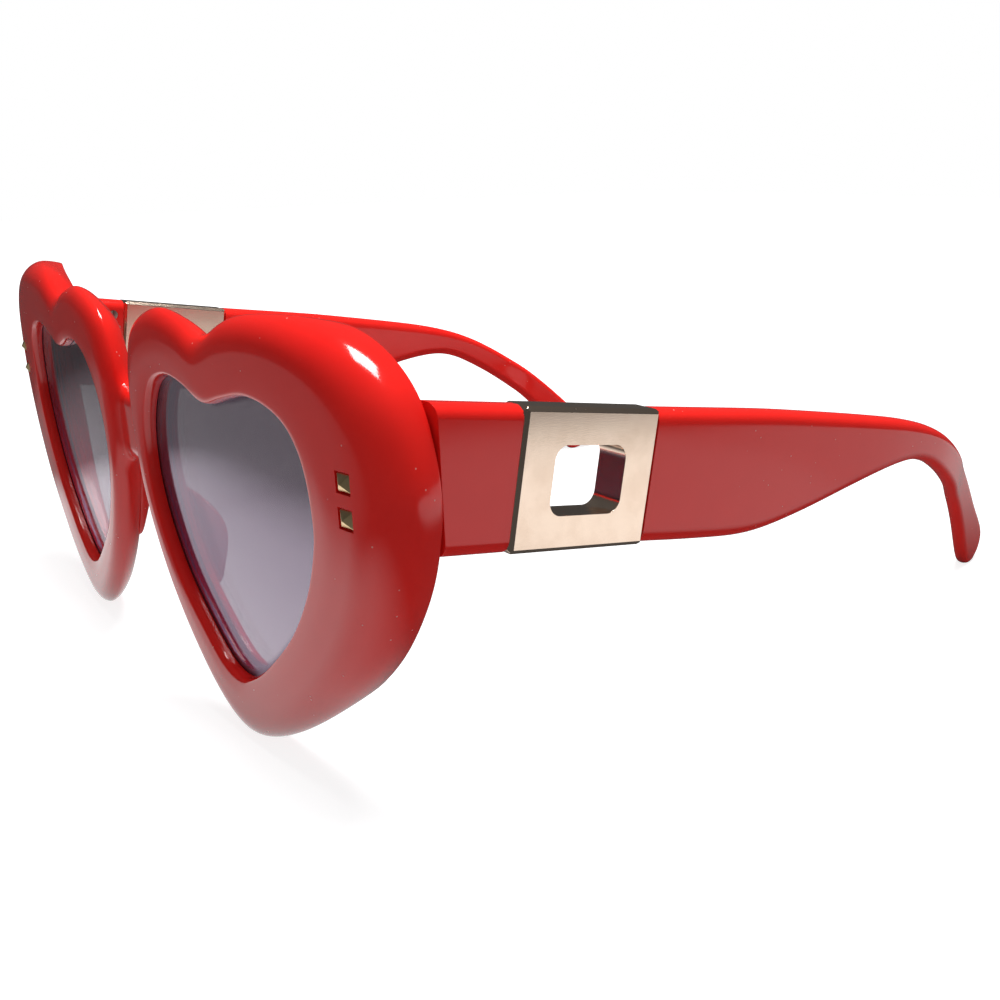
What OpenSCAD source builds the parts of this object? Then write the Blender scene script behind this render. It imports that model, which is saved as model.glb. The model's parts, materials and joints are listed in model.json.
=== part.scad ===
// Heart shaped sunglasses with wide temples and a metal link in each temple.
// The frame lies open on a table: X to the wearer's left, Y to the rear, Z up.
// The front stands on its two heart tips and the temples on their ear tips.

/* [Heart rims] */
// Width of one heart rim, nose side to temple side
heart_w = 66.8; // [60:0.5:74]
// Height of one heart rim, tip to the top of its lobes
heart_h = 62.7; // [56:0.1:68]
// Gap between the two hearts at their closest, which the bridge spans
nose_gap = 9; // [6:0.5:14]
// From the rim's nose side edge to the lens opening
nose_band = 5.1; // [4:0.1:8]
// From the lens opening to the rim's temple side edge
temple_band = 15.1; // [13.5:0.1:18]
// From the rim's lower tip to the opening's lower tip
chin_band = 9.4; // [8:0.1:12]
// From the opening's highest point to the top of the rim's lobes
brow_band = 10.6; // [8:0.1:14]
// Radius of the curve that wraps the front round the face
wrap_r = 560; // [400:10:2000]
// Lean of the front, top forward, in degrees
front_lean = 1.5; // [0:0.1:3]
// Height of the rim's crown over the lip of the opening
crown = 1.1; // [0.6:0.1:2]
// Height of the front's rounded shoulder over the lip
shoulder = 1.1; // [0.4:0.1:1.6]
// Depth of the rear face behind the lip, at the temple side
rear_depth = 7.2; // [6.2:0.1:9]
// Depth of the rear face behind the lip, at the nose side
nose_depth = 4.5; // [4.4:0.1:6]
// Depth at which the rim is widest, at the temple side
belly_depth = 3.6; // [2.5:0.1:4.5]
// Depth at which the rim is widest, at the nose side
nose_belly = 1.1; // [0.8:0.1:2]
// Width of the rear edge's rounding, at the temple side
rear_round = 0.8; // [0.6:0.1:2]
// Width of the rear edge's bevel, at the nose side
nose_bevel = 3.7; // [1.6:0.1:3.7]
// Rounding of the lip round the opening
lip_round = 0.7; // [0.5:0.1:0.8]

/* [Lenses] */
// Depth of the lens's front face behind the lip
lens_depth = 1; // [0.9:0.1:1.6]
// Thickness of a lens
lens_t = 2; // [1.6:0.1:2.4]
// How far a lens reaches into the groove round the opening
lens_seat = 0.8; // [0.5:0.1:1.2]
// Clearance between a lens and its groove
lens_clear = 0.04; // [0.02:0.01:0.1]

/* [Bridge and nose pads] */
// Height of the bridge's centre over the rims' lower tips
bridge_up = 40.2; // [36:0.1:43]
// Height of the bridge at its middle
bridge_h = 11.6; // [8:0.2:16]
// Depth of the bridge's front face behind the lip
bridge_back = 0.5; // [0:0.1:2]
// Thickness of the bridge, front to rear
bridge_t = 4.4; // [3.6:0.1:5.6]
// Rise of a nose pad over the rim's rear face
pad_rise = 3; // [1.5:0.1:4]
// How far a nose pad leans over the edge of the opening
pad_splay = 4.8; // [1:0.1:5]
// Clearance between a nose pad and the rim that it is bonded to
pad_clear = 0.03; // [0.02:0.01:0.1]

/* [Studs] */
// Width of a square stud
stud_w = 2.2; // [1.6:0.1:3]
// Height of a stud's pyramid
stud_h = 0.8; // [0.4:0.1:1.4]
// Distance between the two studs of one side
stud_pitch = 4.4; // [3.8:0.1:6]
// Distance of the studs from the rim's temple side edge
stud_in = 7.3; // [6:0.1:9]
// Height of the pair's middle over the rim's lower tip
stud_up = 43.1; // [36:0.1:48]
// Width of the recess round a stud's edge
stud_margin = 0.25; // [0.1:0.05:0.5]
// Depth of the recess that a stud sits in
stud_seat = 0.45; // [0.3:0.05:0.8]
// Lean of the studs' axis to the side, in degrees
stud_turn = 10; // [0:1:30]
// Diameter of a stud's pin
stud_pin_d = 1; // [0.8:0.1:1.4]
// Length of a stud's pin
stud_pin_l = 3; // [1.5:0.1:4]

/* [Hinges] */
// Distance of the hinge axis from the rim's temple side edge
hinge_in = 7.25; // [6:0.05:8]
// Distance of the hinge axis behind the rim's rear face
hinge_back = 5; // [2.6:0.05:5]
// Height of the hinge's middle over the rim's lower tip
hinge_up = 43.8; // [42:0.1:47]
// Diameter of a hinge knuckle
knuckle_d = 3; // [2.4:0.1:3.2]
// Diameter of the hinge screw
pin_d = 1.1; // [0.8:0.1:1.4]
// Diameter of the hinge screw's head
pin_head_d = 2.4; // [1.8:0.1:2.8]
// Height of the hinge screw's head
pin_head_h = 0.7; // [0.5:0.1:1]
// Width of the slots in the screws
slot_w = 0.25; // [0.2:0.05:0.4]
// Depth of the slots in the screws
slot_deep = 0.3; // [0.2:0.05:0.4]
// Running clearance round the hinge screw
pin_clear = 0.05; // [0.03:0.01:0.1]
// Height of one knuckle
knuckle_h = 1.5; // [1.2:0.1:2]
// Gap between neighbouring knuckles
knuckle_gap = 0.08; // [0.05:0.01:0.15]
// Thickness of a hinge leaf
leaf_t = 1; // [0.8:0.1:1.2]
// Length of the leaf let into the front
front_leaf_l = 9; // [7:0.5:11]
// Length of the leaf let into the temple
temple_leaf_l = 6.4; // [5:0.1:6.6]
// How far a leaf stands proud of the plastic
leaf_proud = 0.15; // [0:0.05:0.2]
// Diameter of the pegs that hold a leaf in the plastic
peg_d = 1.2; // [0.8:0.1:1.6]
// Length of the pegs that hold a leaf
peg_l = 1.6; // [1:0.1:2]

/* [Temples] */
// Distance along the temple from the hinge axis to the rear of its ear tip
temple_l = 140; // [130:0.5:146]
// Drop of the ear tip's middle under the line of the temple
ear_drop = 19; // [16:0.5:22]
// How far the ear tip is bent inwards
ear_bend = 10; // [6:0.5:12]
// Height of the temple at the front
temple_h = 18.4; // [16:0.2:20]
// Thickness of the temple at the front
temple_t = 4.5; // [4.2:0.1:5]
// Gap between the hinge knuckles and the temple's inner face
temple_gap = 0.25; // [0.2:0.05:0.5]
// Gap between the front's rear face and the temple's end
butt_gap = 0.3; // [0.25:0.05:0.5]
// Rounding of the temple's edges
temple_round = 1.8; // [1:0.1:2]

/* [Metal links] */
// Distance from the hinge axis to the front of the link
link_start = 7; // [6.8:0.1:9]
// Length of the link between the two plastic pieces
link_l = 23; // [18:0.5:26]
// Length of the open window in the link
window_l = 12; // [8:0.5:13]
// Height of the open window in the link
window_h = 9; // [6:0.5:10]
// Rounding of the window's corners
window_round = 2; // [1:0.1:3]
// How far the link stands proud of the temple's faces
link_proud = 0.25; // [0.1:0.05:0.4]
// Bevel along the link's edges
link_bevel = 0.6; // [0.3:0.1:1]
// Length of the tongues that reach into the plastic
tongue_l = 4.4; // [3.5:0.1:4.8]
// Height of a tongue
tongue_h = 3.2; // [2.4:0.1:3.6]
// Thickness of a tongue
tongue_t = 1.4; // [1:0.1:1.6]
// Distance of a tongue's middle from the temple's middle
tongue_up = 6.1; // [5.9:0.1:6.4]
// Clearance round a tongue
tongue_clear = 0.04; // [0.02:0.01:0.1]
// Diameter of the small screws through the tongues
screw_d = 1; // [0.8:0.1:1.2]
// Diameter of the small screws' heads
screw_head_d = 1.9; // [1.6:0.1:2.2]
// Height of the small screws' heads
screw_head_h = 0.6; // [0.4:0.1:0.8]
// Clearance round the small screws
screw_clear = 0.02; // [0.01:0.01:0.05]

/* [Hidden] */
$fn = 48;
// Sides of the large drums that give the front its wrap
wrap_fn = 256;
// How far a cut runs past the face that it opens
over = 1;
// Steps between two neighbouring points of an outline
outline_steps = 3;
// Steps between two neighbouring places of the ear piece
ear_steps = 3;
// Points of a rim's outer edge as shares of its width and height, from the notch over the temple side
rim_shares = [
    [0.389, 0.933], [0.501, 0.980], [0.614, 0.998], [0.749, 0.995], [0.870, 0.957], [0.960, 0.872],
    [0.999, 0.737], [0.997, 0.620], [0.957, 0.474], [0.861, 0.306], [0.714, 0.156], [0.560, 0.046],
    [0.427, 0.000], [0.314, 0.046], [0.199, 0.156], [0.106, 0.290], [0.043, 0.432], [0.010, 0.558],
    [0.000, 0.686], [0.007, 0.815], [0.055, 0.920], [0.184, 0.972], [0.301, 0.960]
];
// Points of the lens opening as shares of its width and height, each one facing its point above
opening_shares = [
    [0.466, 0.937], [0.577, 0.967], [0.706, 0.998], [0.828, 0.986], [0.923, 0.937], [0.979, 0.841],
    [1.000, 0.698], [0.989, 0.588], [0.936, 0.438], [0.835, 0.274], [0.691, 0.122], [0.588, 0.040],
    [0.502, 0.000], [0.399, 0.023], [0.275, 0.124], [0.146, 0.258], [0.052, 0.419], [0.004, 0.581],
    [0.006, 0.733], [0.047, 0.857], [0.120, 0.951], [0.230, 0.991], [0.348, 0.977]
];
// Where a nose pad starts and ends, as shares of the way round the rim
pad_start_share = 0.635;
pad_end_share = 0.725;
// How fast a nose pad rises at its ends, and how far its highest point lies towards the bridge
pad_swell_share = 0.6;
pad_lean_power = 1.35;
// Half of the bridge's flare where it meets the rims, as a share of its height
bridge_flare_share = 0.1;
// The rounded shoulder's width as a share of the rim's width
shoulder_share = 0.4;
// How late the rim thickens on its way from the nose side, and where it has its full depth
thicken_power = 3.5;
thicken_share = 0.76;
// Points of the rear edge: how far inwards as shares of its rounding, how deep as shares below the belly
rear_shares = [[0.2, 0.38], [0.56, 0.72], [0.84, 0.93], [1, 1]];
// The height of the lip's edge as a share of the crown's rise
lip_share = 0.8;
// How far the lip's rounding stays from its corner, as a share of the rounding
corner_share = 0.3;
// The largest rounding of the ear piece's edges as a share of half its thickness or height
ear_round_share = 0.9;

// Derived sizes of the front
heart_x = nose_gap / 2;
front_half = heart_x + heart_w;
opening_x = heart_x + nose_band;
opening_w = heart_w - nose_band - temple_band;
opening_h = heart_h - chin_band - brow_band;
groove_d = lens_seat + lens_clear;
groove_w = lens_t + lens_clear;

// A point of a smooth closed curve through p1 and p2
function smooth(p0, p1, p2, p3, t) =
    ((2 * p1) + (p2 - p0) * t + (2 * p0 - 5 * p1 + 4 * p2 - p3) * t * t
    + (3 * p1 - p0 - 3 * p2 + p3) * t * t * t) / 2;
function at(list, i) = list[(i + len(list)) % len(list)];
function closed_curve(points, steps) = [
    for (i = [0 : len(points) - 1], j = [0 : steps - 1])
        smooth(at(points, i - 1), points[i], at(points, i + 1), at(points, i + 2), j / steps)
];
function clamped(list, i) = list[max(0, min(len(list) - 1, i))];
function open_curve(points, steps) = concat([
    for (i = [0 : len(points) - 2], j = [0 : steps - 1])
        smooth(clamped(points, i - 1), points[i], points[i + 1], clamped(points, i + 2), j / steps)
], [points[len(points) - 1]]);

// Depth that the wrap of the front adds at a distance from its middle
function wrap(x) = wrap_r - sqrt(wrap_r * wrap_r - x * x);

rim_edge = closed_curve([for (s = rim_shares) [heart_x + s[0] * heart_w, s[1] * heart_h]], outline_steps);
opening_edge = closed_curve([
    for (s = opening_shares) [opening_x + s[0] * opening_w, chin_band + s[1] * opening_h]
], outline_steps);
stations = len(rim_edge);

function band(i) = norm(at(rim_edge, i) - at(opening_edge, i));
function outward(i) = (at(rim_edge, i) - at(opening_edge, i)) / band(i);

// How far the rim has thickened at a distance from the middle of the face
function thick_at(x) = pow(max(0, min(1, (x - heart_x) / (thicken_share * heart_w))), thicken_power);
function between(nose, temple, x) = nose + (temple - nose) * thick_at(x);

// A point of the rim: out from the opening's edge, and deep behind the lip
function rim_point(i, out, deep) =
    let (p = at(opening_edge, i) + out * outward(i)) [p[0], wrap(p[0]) + deep, p[1]];
// A point of the rim's rear face
function rear_point(i, out, lift = 0) =
    let (p = at(opening_edge, i) + out * outward(i))
        [p[0], wrap(p[0]) + between(nose_depth, rear_depth, p[0]) + lift, p[1]];

// Width of the rear edge's bevel at a station, which leaves a wall behind the groove
function bevel_at(i) =
    min(between(nose_bevel, rear_round, at(rim_edge, i)[0]), band(i) - groove_d - lip_round / 2);
// A point of the rear edge at a station, from the belly to the rear face
function edge_point(i, share, lift = 0) =
    let (
        x = at(rim_edge, i)[0],
        belly = between(nose_belly, belly_depth, x),
        rear = between(nose_depth, rear_depth, x)
    ) rim_point(i, band(i) - bevel_at(i) * share[0], belly + (rear - belly) * share[1] + lift);

// The rim's ring at a station, from the lip over the crown to the rear face and the groove
function rim_ring(i) =
    let (
        w = band(i),
        s = shoulder_share * w,
        belly = between(nose_belly, belly_depth, at(rim_edge, i)[0])
    ) concat(
        [
            for (q = [
                [0, lip_round], [lip_round * corner_share, lip_round * corner_share], [lip_round, -crown * lip_share],
                [(lip_round + w - s) / 2, -(crown + shoulder * lip_share) / (1 + lip_share)]
            ]) rim_point(i, q[0], q[1])
        ],
        [for (a = [0 : 30 : 90]) rim_point(i, w - s + s * sin(a), belly - (belly + shoulder) * cos(a))],
        [for (q = rear_shares) edge_point(i, q)],
        [rear_point(i, lip_round / 2), rear_point(i, 0, -lip_round / 2)],
        [
            for (q = [
                [0, lens_depth + groove_w], [groove_d, lens_depth + groove_w],
                [groove_d, lens_depth - lens_clear], [0, lens_depth - lens_clear]
            ]) rim_point(i, q[0], q[1])
        ]
    );

rim_rings = [for (i = [0 : stations - 1]) rim_ring(i)];

// Joins rings of equal length into a skin, with the rings in a closed loop or with both ends capped
module skin(rings, loop = false) {
    n = len(rings);
    m = len(rings[0]);
    walls = [
        for (i = [0 : n - (loop ? 1 : 2)], j = [0 : m - 1])
            let (a = i * m, b = ((i + 1) % n) * m, k = (j + 1) % m)
                each [[a + j, b + k, b + j], [a + j, a + k, b + k]]
    ];
    caps = loop ? [] : concat(
        [for (j = [1 : m - 2]) [0, j + 1, j]],
        [for (j = [1 : m - 2]) [(n - 1) * m, (n - 1) * m + j, (n - 1) * m + j + 1]]
    );
    polyhedron(points = [for (r = rings) each r], faces = concat(walls, caps));
}

// Where the front stands
function leaned(p) = [
    p[0], p[1] * cos(front_lean) - p[2] * sin(front_lean), p[1] * sin(front_lean) + p[2] * cos(front_lean)
];
front_points = [for (r = rim_rings) for (p = r) leaned(p)];
front_z = min([for (p = front_points) p[2]]);
front_y = min([for (p = front_points) p[1]]);

// Derived sizes of the hinge
hinge_x = front_half - hinge_in;
hinge_at = leaned([hinge_x, wrap(hinge_x) + rear_depth + hinge_back, hinge_up]);
knuckles = 5;
// Distance of a leaf's pegs from its middle, as a share of the leaf
peg_share = 0.25;
knuckle_step = knuckle_h + knuckle_gap;
leaf_h = knuckles * knuckle_h + (knuckles - 1) * knuckle_gap;
inner_x = knuckle_d / 2 + temple_gap;
outer_x = inner_x + temple_t;
mid_x = inner_x + temple_t / 2;
link_end = link_start + link_l;

// Places along the rear piece of a temple, from the link to the ear tip: how far along its top edge
// and its lower edge are, as shares of its length, the drop of its middle as a share of the ear drop,
// and its height and thickness as shares of the temple's
ear_shares = [
    [0, 0, 0, 1, 1], [0.105, 0.105, 0, 1.015, 1], [0.21, 0.205, -0.013, 1, 0.99],
    [0.315, 0.304, -0.08, 0.845, 0.97], [0.413, 0.399, -0.165, 0.645, 0.94], [0.503, 0.49, -0.236, 0.458, 0.88],
    [0.58, 0.556, -0.25, 0.334, 0.82], [0.643, 0.605, -0.202, 0.276, 0.77], [0.698, 0.648, -0.113, 0.241, 0.73],
    [0.748, 0.695, 0.001, 0.222, 0.7], [0.802, 0.746, 0.15, 0.205, 0.68], [0.861, 0.802, 0.35, 0.185, 0.67],
    [0.919, 0.858, 0.595, 0.219, 0.67], [0.969, 0.9, 0.809, 0.276, 0.66], [0.995, 0.927, 0.95, 0.295, 0.65],
    [0.998, 0.945, 1.04, 0.24, 0.63], [0.988, 0.961, 1.075, 0.12, 0.55]
];
// How far the rear piece is bent inwards along its length, as shares of the length and of the ear's bend
bend_shares = [
    [0, 0], [0.13, -0.04], [0.27, -0.08], [0.45, -0.13], [0.54, -0.11], [0.63, -0.03], [0.69, 0.08],
    [0.75, 0.245], [0.79, 0.415], [0.865, 0.64], [0.93, 0.82], [1, 1]
];
ear_l = temple_l - link_end;
// A row of the table as a top point, a lower point and the thickness
ear_places = open_curve([
    for (s = ear_shares)
        let (middle = -s[2] * ear_drop, half = s[3] * temple_h / 2) [
            link_end + s[0] * ear_l, middle + half, link_end + s[1] * ear_l, middle - half, s[4] * temple_t
        ]
], ear_steps);
bend_curve = open_curve(bend_shares, ear_steps);
function bend_at(y) = ear_bend * lookup((y - link_end) / ear_l, bend_curve);

// Points round a section's edge, with its four corners rounded
corner_angles = [0, 30, 60, 90];
function section_ring(half_t, half_h, r) = [
    for (q = [0 : 3], a = corner_angles)
        [
            (q == 0 || q == 3 ? 1 : -1) * (half_t - r) + r * cos(q * 90 + a),
            (q < 2 ? 1 : -1) * (half_h - r) + r * sin(q * 90 + a)
        ]
];
ear_rings = [
    for (p = ear_places)
        let (
            top = [p[0], p[1]], low = [p[2], p[3]], middle = (top + low) / 2, half_h = norm(top - low) / 2,
            up = (top - low) / (2 * half_h), half_t = p[4] / 2,
            r = min(temple_round, ear_round_share * half_t, ear_round_share * half_h)
        ) [
            for (q = section_ring(half_t, half_h, r))
                let (y = middle[0] + q[1] * up[0])
                    [outer_x - half_t + q[0] - bend_at(y), y, middle[1] + q[1] * up[1]]
        ]
];
// The point that the temple stands on, one row of the table before its end
ear_foot = [for (i = [2, 3]) at(ear_places, -1 - ear_steps)[i]];

// Slope of the temples: what brings the ear tips down to the level of the heart tips
temple_slope = asin((hinge_at[2] - front_z) / norm(ear_foot)) + atan2(ear_foot[1], ear_foot[0]);
function sloped(p) = hinge_at + [
    p[0], p[1] * cos(temple_slope) + p[2] * sin(temple_slope), p[2] * cos(temple_slope) - p[1] * sin(temple_slope)
];
rear_y = max([for (r = ear_rings) for (p = r) sloped(p)[1]]);
floor_z = min(front_z, min([for (r = ear_rings) for (p = r) sloped(p)[2]]));
middle_y = (front_y + rear_y) / 2;

// Stands what is drawn on the table, with the middle of its footprint at the origin
module stand() translate([0, -middle_y, -floor_z]) children();
// The front's own frame: X across, Y deep, Z up from the heart tips
module front_place() stand() rotate([front_lean, 0, 0]) children();
// The temple's own frame at the hinge's middle: Y along the temple, Z along the hinge pin
module temple_place() stand() translate(hinge_at) rotate([-temple_slope, 0, 0]) children();
// The same piece on the other side of the face
module on_right() mirror([1, 0, 0]) children();

// A square with round corners, about its centre
module round_square(size, r) {
    square([size[0] - 2 * r, size[1]], center = true);
    square([size[0], size[1] - 2 * r], center = true);
    for (x = [-1, 1], y = [-1, 1])
        translate([x * (size[0] / 2 - r), y * (size[1] / 2 - r)]) circle(r = r);
}
// A square with its corners cut off, about its centre
module bevel_square(size, b)
    polygon([
        [size[0] / 2, size[1] / 2 - b], [size[0] / 2 - b, size[1] / 2],
        [b - size[0] / 2, size[1] / 2], [-size[0] / 2, size[1] / 2 - b],
        [-size[0] / 2, b - size[1] / 2], [b - size[0] / 2, -size[1] / 2],
        [size[0] / 2 - b, -size[1] / 2], [size[0] / 2, b - size[1] / 2]
    ]);
// A box between two corners
module span(low, high) translate(low) cube(high - low);

// The slope of the wrapped front across its width, in degrees
function wrap_slope(x) = asin(x / wrap_r);

// Where the studs sit, and the lean of their axis to the side
stud_x = front_half - stud_in;
stud_deep = -shoulder * lip_share;
// Places a stud's own frame, Z along its axis out of the front
module stud_place(side)
    front_place()
        translate([stud_x, wrap(stud_x) + stud_deep, stud_up + side * stud_pitch / 2])
            rotate([0, 0, stud_turn]) rotate([90, 0, 0]) children();

// One side's rim, lips and lens groove
module rim() skin(rim_rings, loop = true);

// Stations of the bridge across the face, as shares of its reach into the rims
bridge_shares = [-1, -0.8, -0.6, -0.4, -0.2, 0, 0.2, 0.4, 0.6, 0.8, 1];
// How far the bridge reaches into each rim, as a share of the nose side band
bridge_root_share = 0.7;
bridge_reach = heart_x + bridge_root_share * nose_band;
bridge_round_share = 0.45;
// How much thinner the bridge gets towards its roots, as a share of its thickness
bridge_thin_share = 0.2;
module bridge()
    skin([
        for (s = bridge_shares)
            let (
                flare = bridge_flare_share * bridge_h * s * s,
                half_h = bridge_h / 2 + flare,
                half_t = (1 - bridge_thin_share * s * s) * bridge_t / 2,
                x = s * bridge_reach
            ) [
                for (q = section_ring(half_t, half_h, bridge_round_share * 2 * half_t))
                    [x, wrap(x) + bridge_back + bridge_t / 2 - q[0], bridge_up + q[1]]
            ]
    ]);

module front_frame()
    color("#d8231f") difference() {
        front_place() {
            rim();
            on_right() rim();
            bridge();
        }
        front_cuts();
        on_right() front_cuts();
    }

// Recesses for the studs, and the pocket and holes for the hinge leaf
module front_cuts() {
    recess = stud_w + 2 * stud_margin;
    for (side = [-1, 1])
        stud_place(side) {
            translate([-recess / 2, -recess / 2, -stud_seat]) cube([recess, recess, stud_seat + 2 * over]);
            translate([0, 0, -stud_seat - stud_pin_l - screw_clear])
                cylinder(d = stud_pin_d + 2 * screw_clear, h = stud_pin_l + over);
        }
    front_leaf_place() front_leaf_body(screw_clear);
}

// The leaf's own frame on the rim's rear face: X across to the hinge, Y deep, Z up
module front_leaf_place()
    front_place()
        translate([leaf_x, wrap(leaf_x) + rear_depth, hinge_up + leaf_rise])
            rotate([0, 0, wrap_slope(leaf_x)]) children();
// The leaf runs past the hinge's axis by as much as it stands proud
leaf_x = hinge_x + leaf_proud - front_leaf_l / 2;
// The pin leans against the front, so the leaf sits higher, where the knuckles' arms end, and is a little taller
leaf_rise = (hinge_back + leaf_t / 2 - leaf_proud) * sin(temple_slope + front_lean);
front_leaf_h = leaf_h + leaf_t / 2;

// A leaf let into the rear face with its two pegs, grown by a clearance for its pocket
module front_leaf_body(clear) {
    span(
        [-front_leaf_l / 2 - clear, leaf_proud - leaf_t - clear, -front_leaf_h / 2 - clear],
        [front_leaf_l / 2 + clear, leaf_proud + (clear > 0 ? over : 0), front_leaf_h / 2 + clear]
    );
    for (x = [-1, 1])
        translate([x * peg_share * front_leaf_l, leaf_proud - leaf_t / 2, 0]) rotate([90, 0, 0])
            cylinder(d = peg_d + 2 * clear, h = leaf_t / 2 + peg_l + clear);
}

// Height of a knuckle's lower end along the hinge pin
function knuckle_z(i) = i * knuckle_step - leaf_h / 2;
pin_hole_d = pin_d + 2 * pin_clear;

module pin_hole()
    translate([0, 0, -leaf_h / 2 - over]) cylinder(d = pin_hole_d, h = leaf_h + 2 * over);

// Depth from the hinge pin to the middle of the front leaf, at a height along the pin
function leaf_gap(z) = hinge_back + leaf_t / 2 - leaf_proud + z * tan(temple_slope + front_lean);

module front_hinge()
    color("#c9a08c") difference() {
        union() {
            front_leaf_place() front_leaf_body(0);
            temple_place()
                for (i = [0 : 2 : knuckles - 1])
                    translate([0, 0, knuckle_z(i)]) {
                        cylinder(d = knuckle_d, h = knuckle_h);
                        span(
                            [-knuckle_d / 2 - leaf_t, -leaf_gap(knuckle_z(i) + knuckle_h / 2), 0],
                            [0, 0, knuckle_h]
                        );
                    }
        }
        temple_place() pin_hole();
    }

module temple_hinge()
    color("#c9a08c") temple_place() difference() {
        union() {
            temple_leaf_body(0);
            for (i = [1 : 2 : knuckles - 1])
                translate([0, 0, knuckle_z(i)]) {
                    cylinder(d = knuckle_d, h = knuckle_h);
                    span([0, 0, 0], [inner_x + leaf_t / 2 - leaf_proud, knuckle_d / 2, knuckle_h]);
                }
        }
        pin_hole();
    }

// The temple's leaf with its two pegs, grown by a clearance for its pocket
module temple_leaf_body(clear) {
    span(
        [inner_x - leaf_proud - (clear > 0 ? over : 0), -clear, -leaf_h / 2 - clear],
        [inner_x - leaf_proud + leaf_t + clear, temple_leaf_l + clear, leaf_h / 2 + clear]
    );
    for (z = [-1, 1])
        translate([inner_x, temple_leaf_l / 2, z * peg_share * leaf_h]) rotate([0, 90, 0])
            cylinder(d = peg_d + 2 * clear, h = leaf_t - leaf_proud + peg_l + clear);
}

// The screw that the temple turns on, with its head over the top knuckle
module hinge_screw()
    color("#b98f7c") temple_place() difference() {
        union() {
            translate([0, 0, -leaf_h / 2]) cylinder(d = pin_d, h = leaf_h + pin_clear + pin_head_h / 2);
            translate([0, 0, leaf_h / 2 + pin_clear]) cylinder(d = pin_head_d, h = pin_head_h);
        }
        translate([-pin_head_d, -slot_w / 2, leaf_h / 2 + pin_clear + pin_head_h - slot_deep])
            cube([2 * pin_head_d, slot_w, slot_deep + over]);
    }

// The plastic piece between the front and the link
module temple_front()
    color("#cf2420") difference() {
        temple_place() translate([mid_x, link_start - tongue_clear, 0]) rotate([90, 0, 0])
            linear_extrude(link_start + hinge_back + rear_depth)
                round_square([temple_t, temple_h], temple_round);
        // The front's rear face, moved back by the gap
        front_place() difference() {
            span(
                [0, -rear_depth, 0],
                [front_half + temple_t, wrap(front_half) + 2 * rear_depth, heart_h]
            );
            translate([0, wrap_r + rear_depth + butt_gap, -over])
                cylinder(r = wrap_r, h = heart_h + 2 * over, $fn = wrap_fn);
        }
        temple_place() {
            temple_leaf_body(screw_clear);
            tongue_cuts();
        }
    }

// Tongues of a link, grown by a clearance for their slots
module tongues(clear)
    for (z = [-1, 1])
        span(
            [
                mid_x - tongue_t / 2 - clear, link_start - tongue_l - clear,
                z * tongue_up - tongue_h / 2 - clear
            ],
            [mid_x + tongue_t / 2 + clear, link_end + tongue_l + clear, z * tongue_up + tongue_h / 2 + clear]
        );

// Where the small screws sit: the middle of each tongue
screw_places = [
    for (y = [link_start - tongue_l / 2, link_end + tongue_l / 2], z = [-tongue_up, tongue_up]) [y, z]
];
screw_l = temple_t / 2 + tongue_t / 2 + link_proud;
module at_screws()
    for (p = screw_places) translate([inner_x, p[0], p[1]]) rotate([0, 90, 0]) children();
module tongue_cuts() {
    tongues(tongue_clear);
    at_screws() screw_body(screw_clear, over);
}
// A small screw from the temple's inner face, grown by a clearance for its hole
module screw_body(clear, past) {
    translate([0, 0, -past]) cylinder(d = screw_head_d + 2 * clear, h = screw_head_h + clear + past);
    cylinder(d = screw_d + 2 * clear, h = screw_l + clear);
}

module link_screws()
    color("#b98f7c") temple_place() at_screws() difference() {
        screw_body(0, 0);
        translate([-screw_head_d, -slot_w / 2, -over]) cube([2 * screw_head_d, slot_w, over + slot_deep]);
    }

module temple_link()
    color("#e3b9a2") temple_place() difference() {
        union() {
            link_body();
            tongues(0);
        }
        window();
        at_screws() screw_body(screw_clear, over);
    }
link_t = temple_t + 2 * link_proud;
link_mid = (link_start + link_end) / 2;
// The link's block with a bevel along every edge
module link_body()
    translate([mid_x, link_mid, 0]) intersection() {
        linear_extrude(temple_h, center = true) bevel_square([link_t, link_l], link_bevel);
        rotate([90, 0, 0]) linear_extrude(link_l, center = true) bevel_square([link_t, temple_h], link_bevel);
        rotate([90, 0, 90]) linear_extrude(link_t, center = true) bevel_square([link_l, temple_h], link_bevel);
    }
module window()
    translate([mid_x - link_t, link_mid, 0]) rotate([90, 0, 90])
        linear_extrude(2 * link_t) round_square([window_l, window_h], window_round);

module temple_rear()
    color("#cf2420") temple_place() difference() {
        translate([0, tongue_clear, 0]) skin(ear_rings);
        tongue_cuts();
    }

// The lens's outline inside the groove, cut from a shell with the front's wrap
lens_edge = [for (i = [0 : stations - 1]) at(opening_edge, i) + lens_seat * outward(i)];
module lens()
    color("#8f8793", 0.8) front_place() intersection() {
        rotate([90, 0, 0]) translate([0, 0, -wrap(front_half) - 2 * rear_depth])
            linear_extrude(wrap(front_half) + 3 * rear_depth) polygon(lens_edge);
        difference() {
            translate([0, wrap_r + lens_depth, 0]) cylinder(r = wrap_r, h = heart_h, $fn = wrap_fn);
            translate([0, wrap_r + lens_depth + lens_t, -over])
                cylinder(r = wrap_r, h = heart_h + 2 * over, $fn = wrap_fn);
        }
    }

// The bonded nose pad: a ridge on the rear face of the rim's nose side that leans over the opening
pad_from = round(pad_start_share * stations);
pad_to = round(pad_end_share * stations);
// The outer edge of the pad's foot: where it lies on the rim's rear edge
pad_foot_share = rear_shares[1];
// Points of the pad's section: how far over to the opening's side, and up as shares of the rise
pad_shares = [[0.12, 0.3], [0.3, 0.62], [0.55, 0.88], [0.8, 1], [0.95, 0.97], [1, 0.8], [0.9, 0.5], [0.8, 0.2]];
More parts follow.
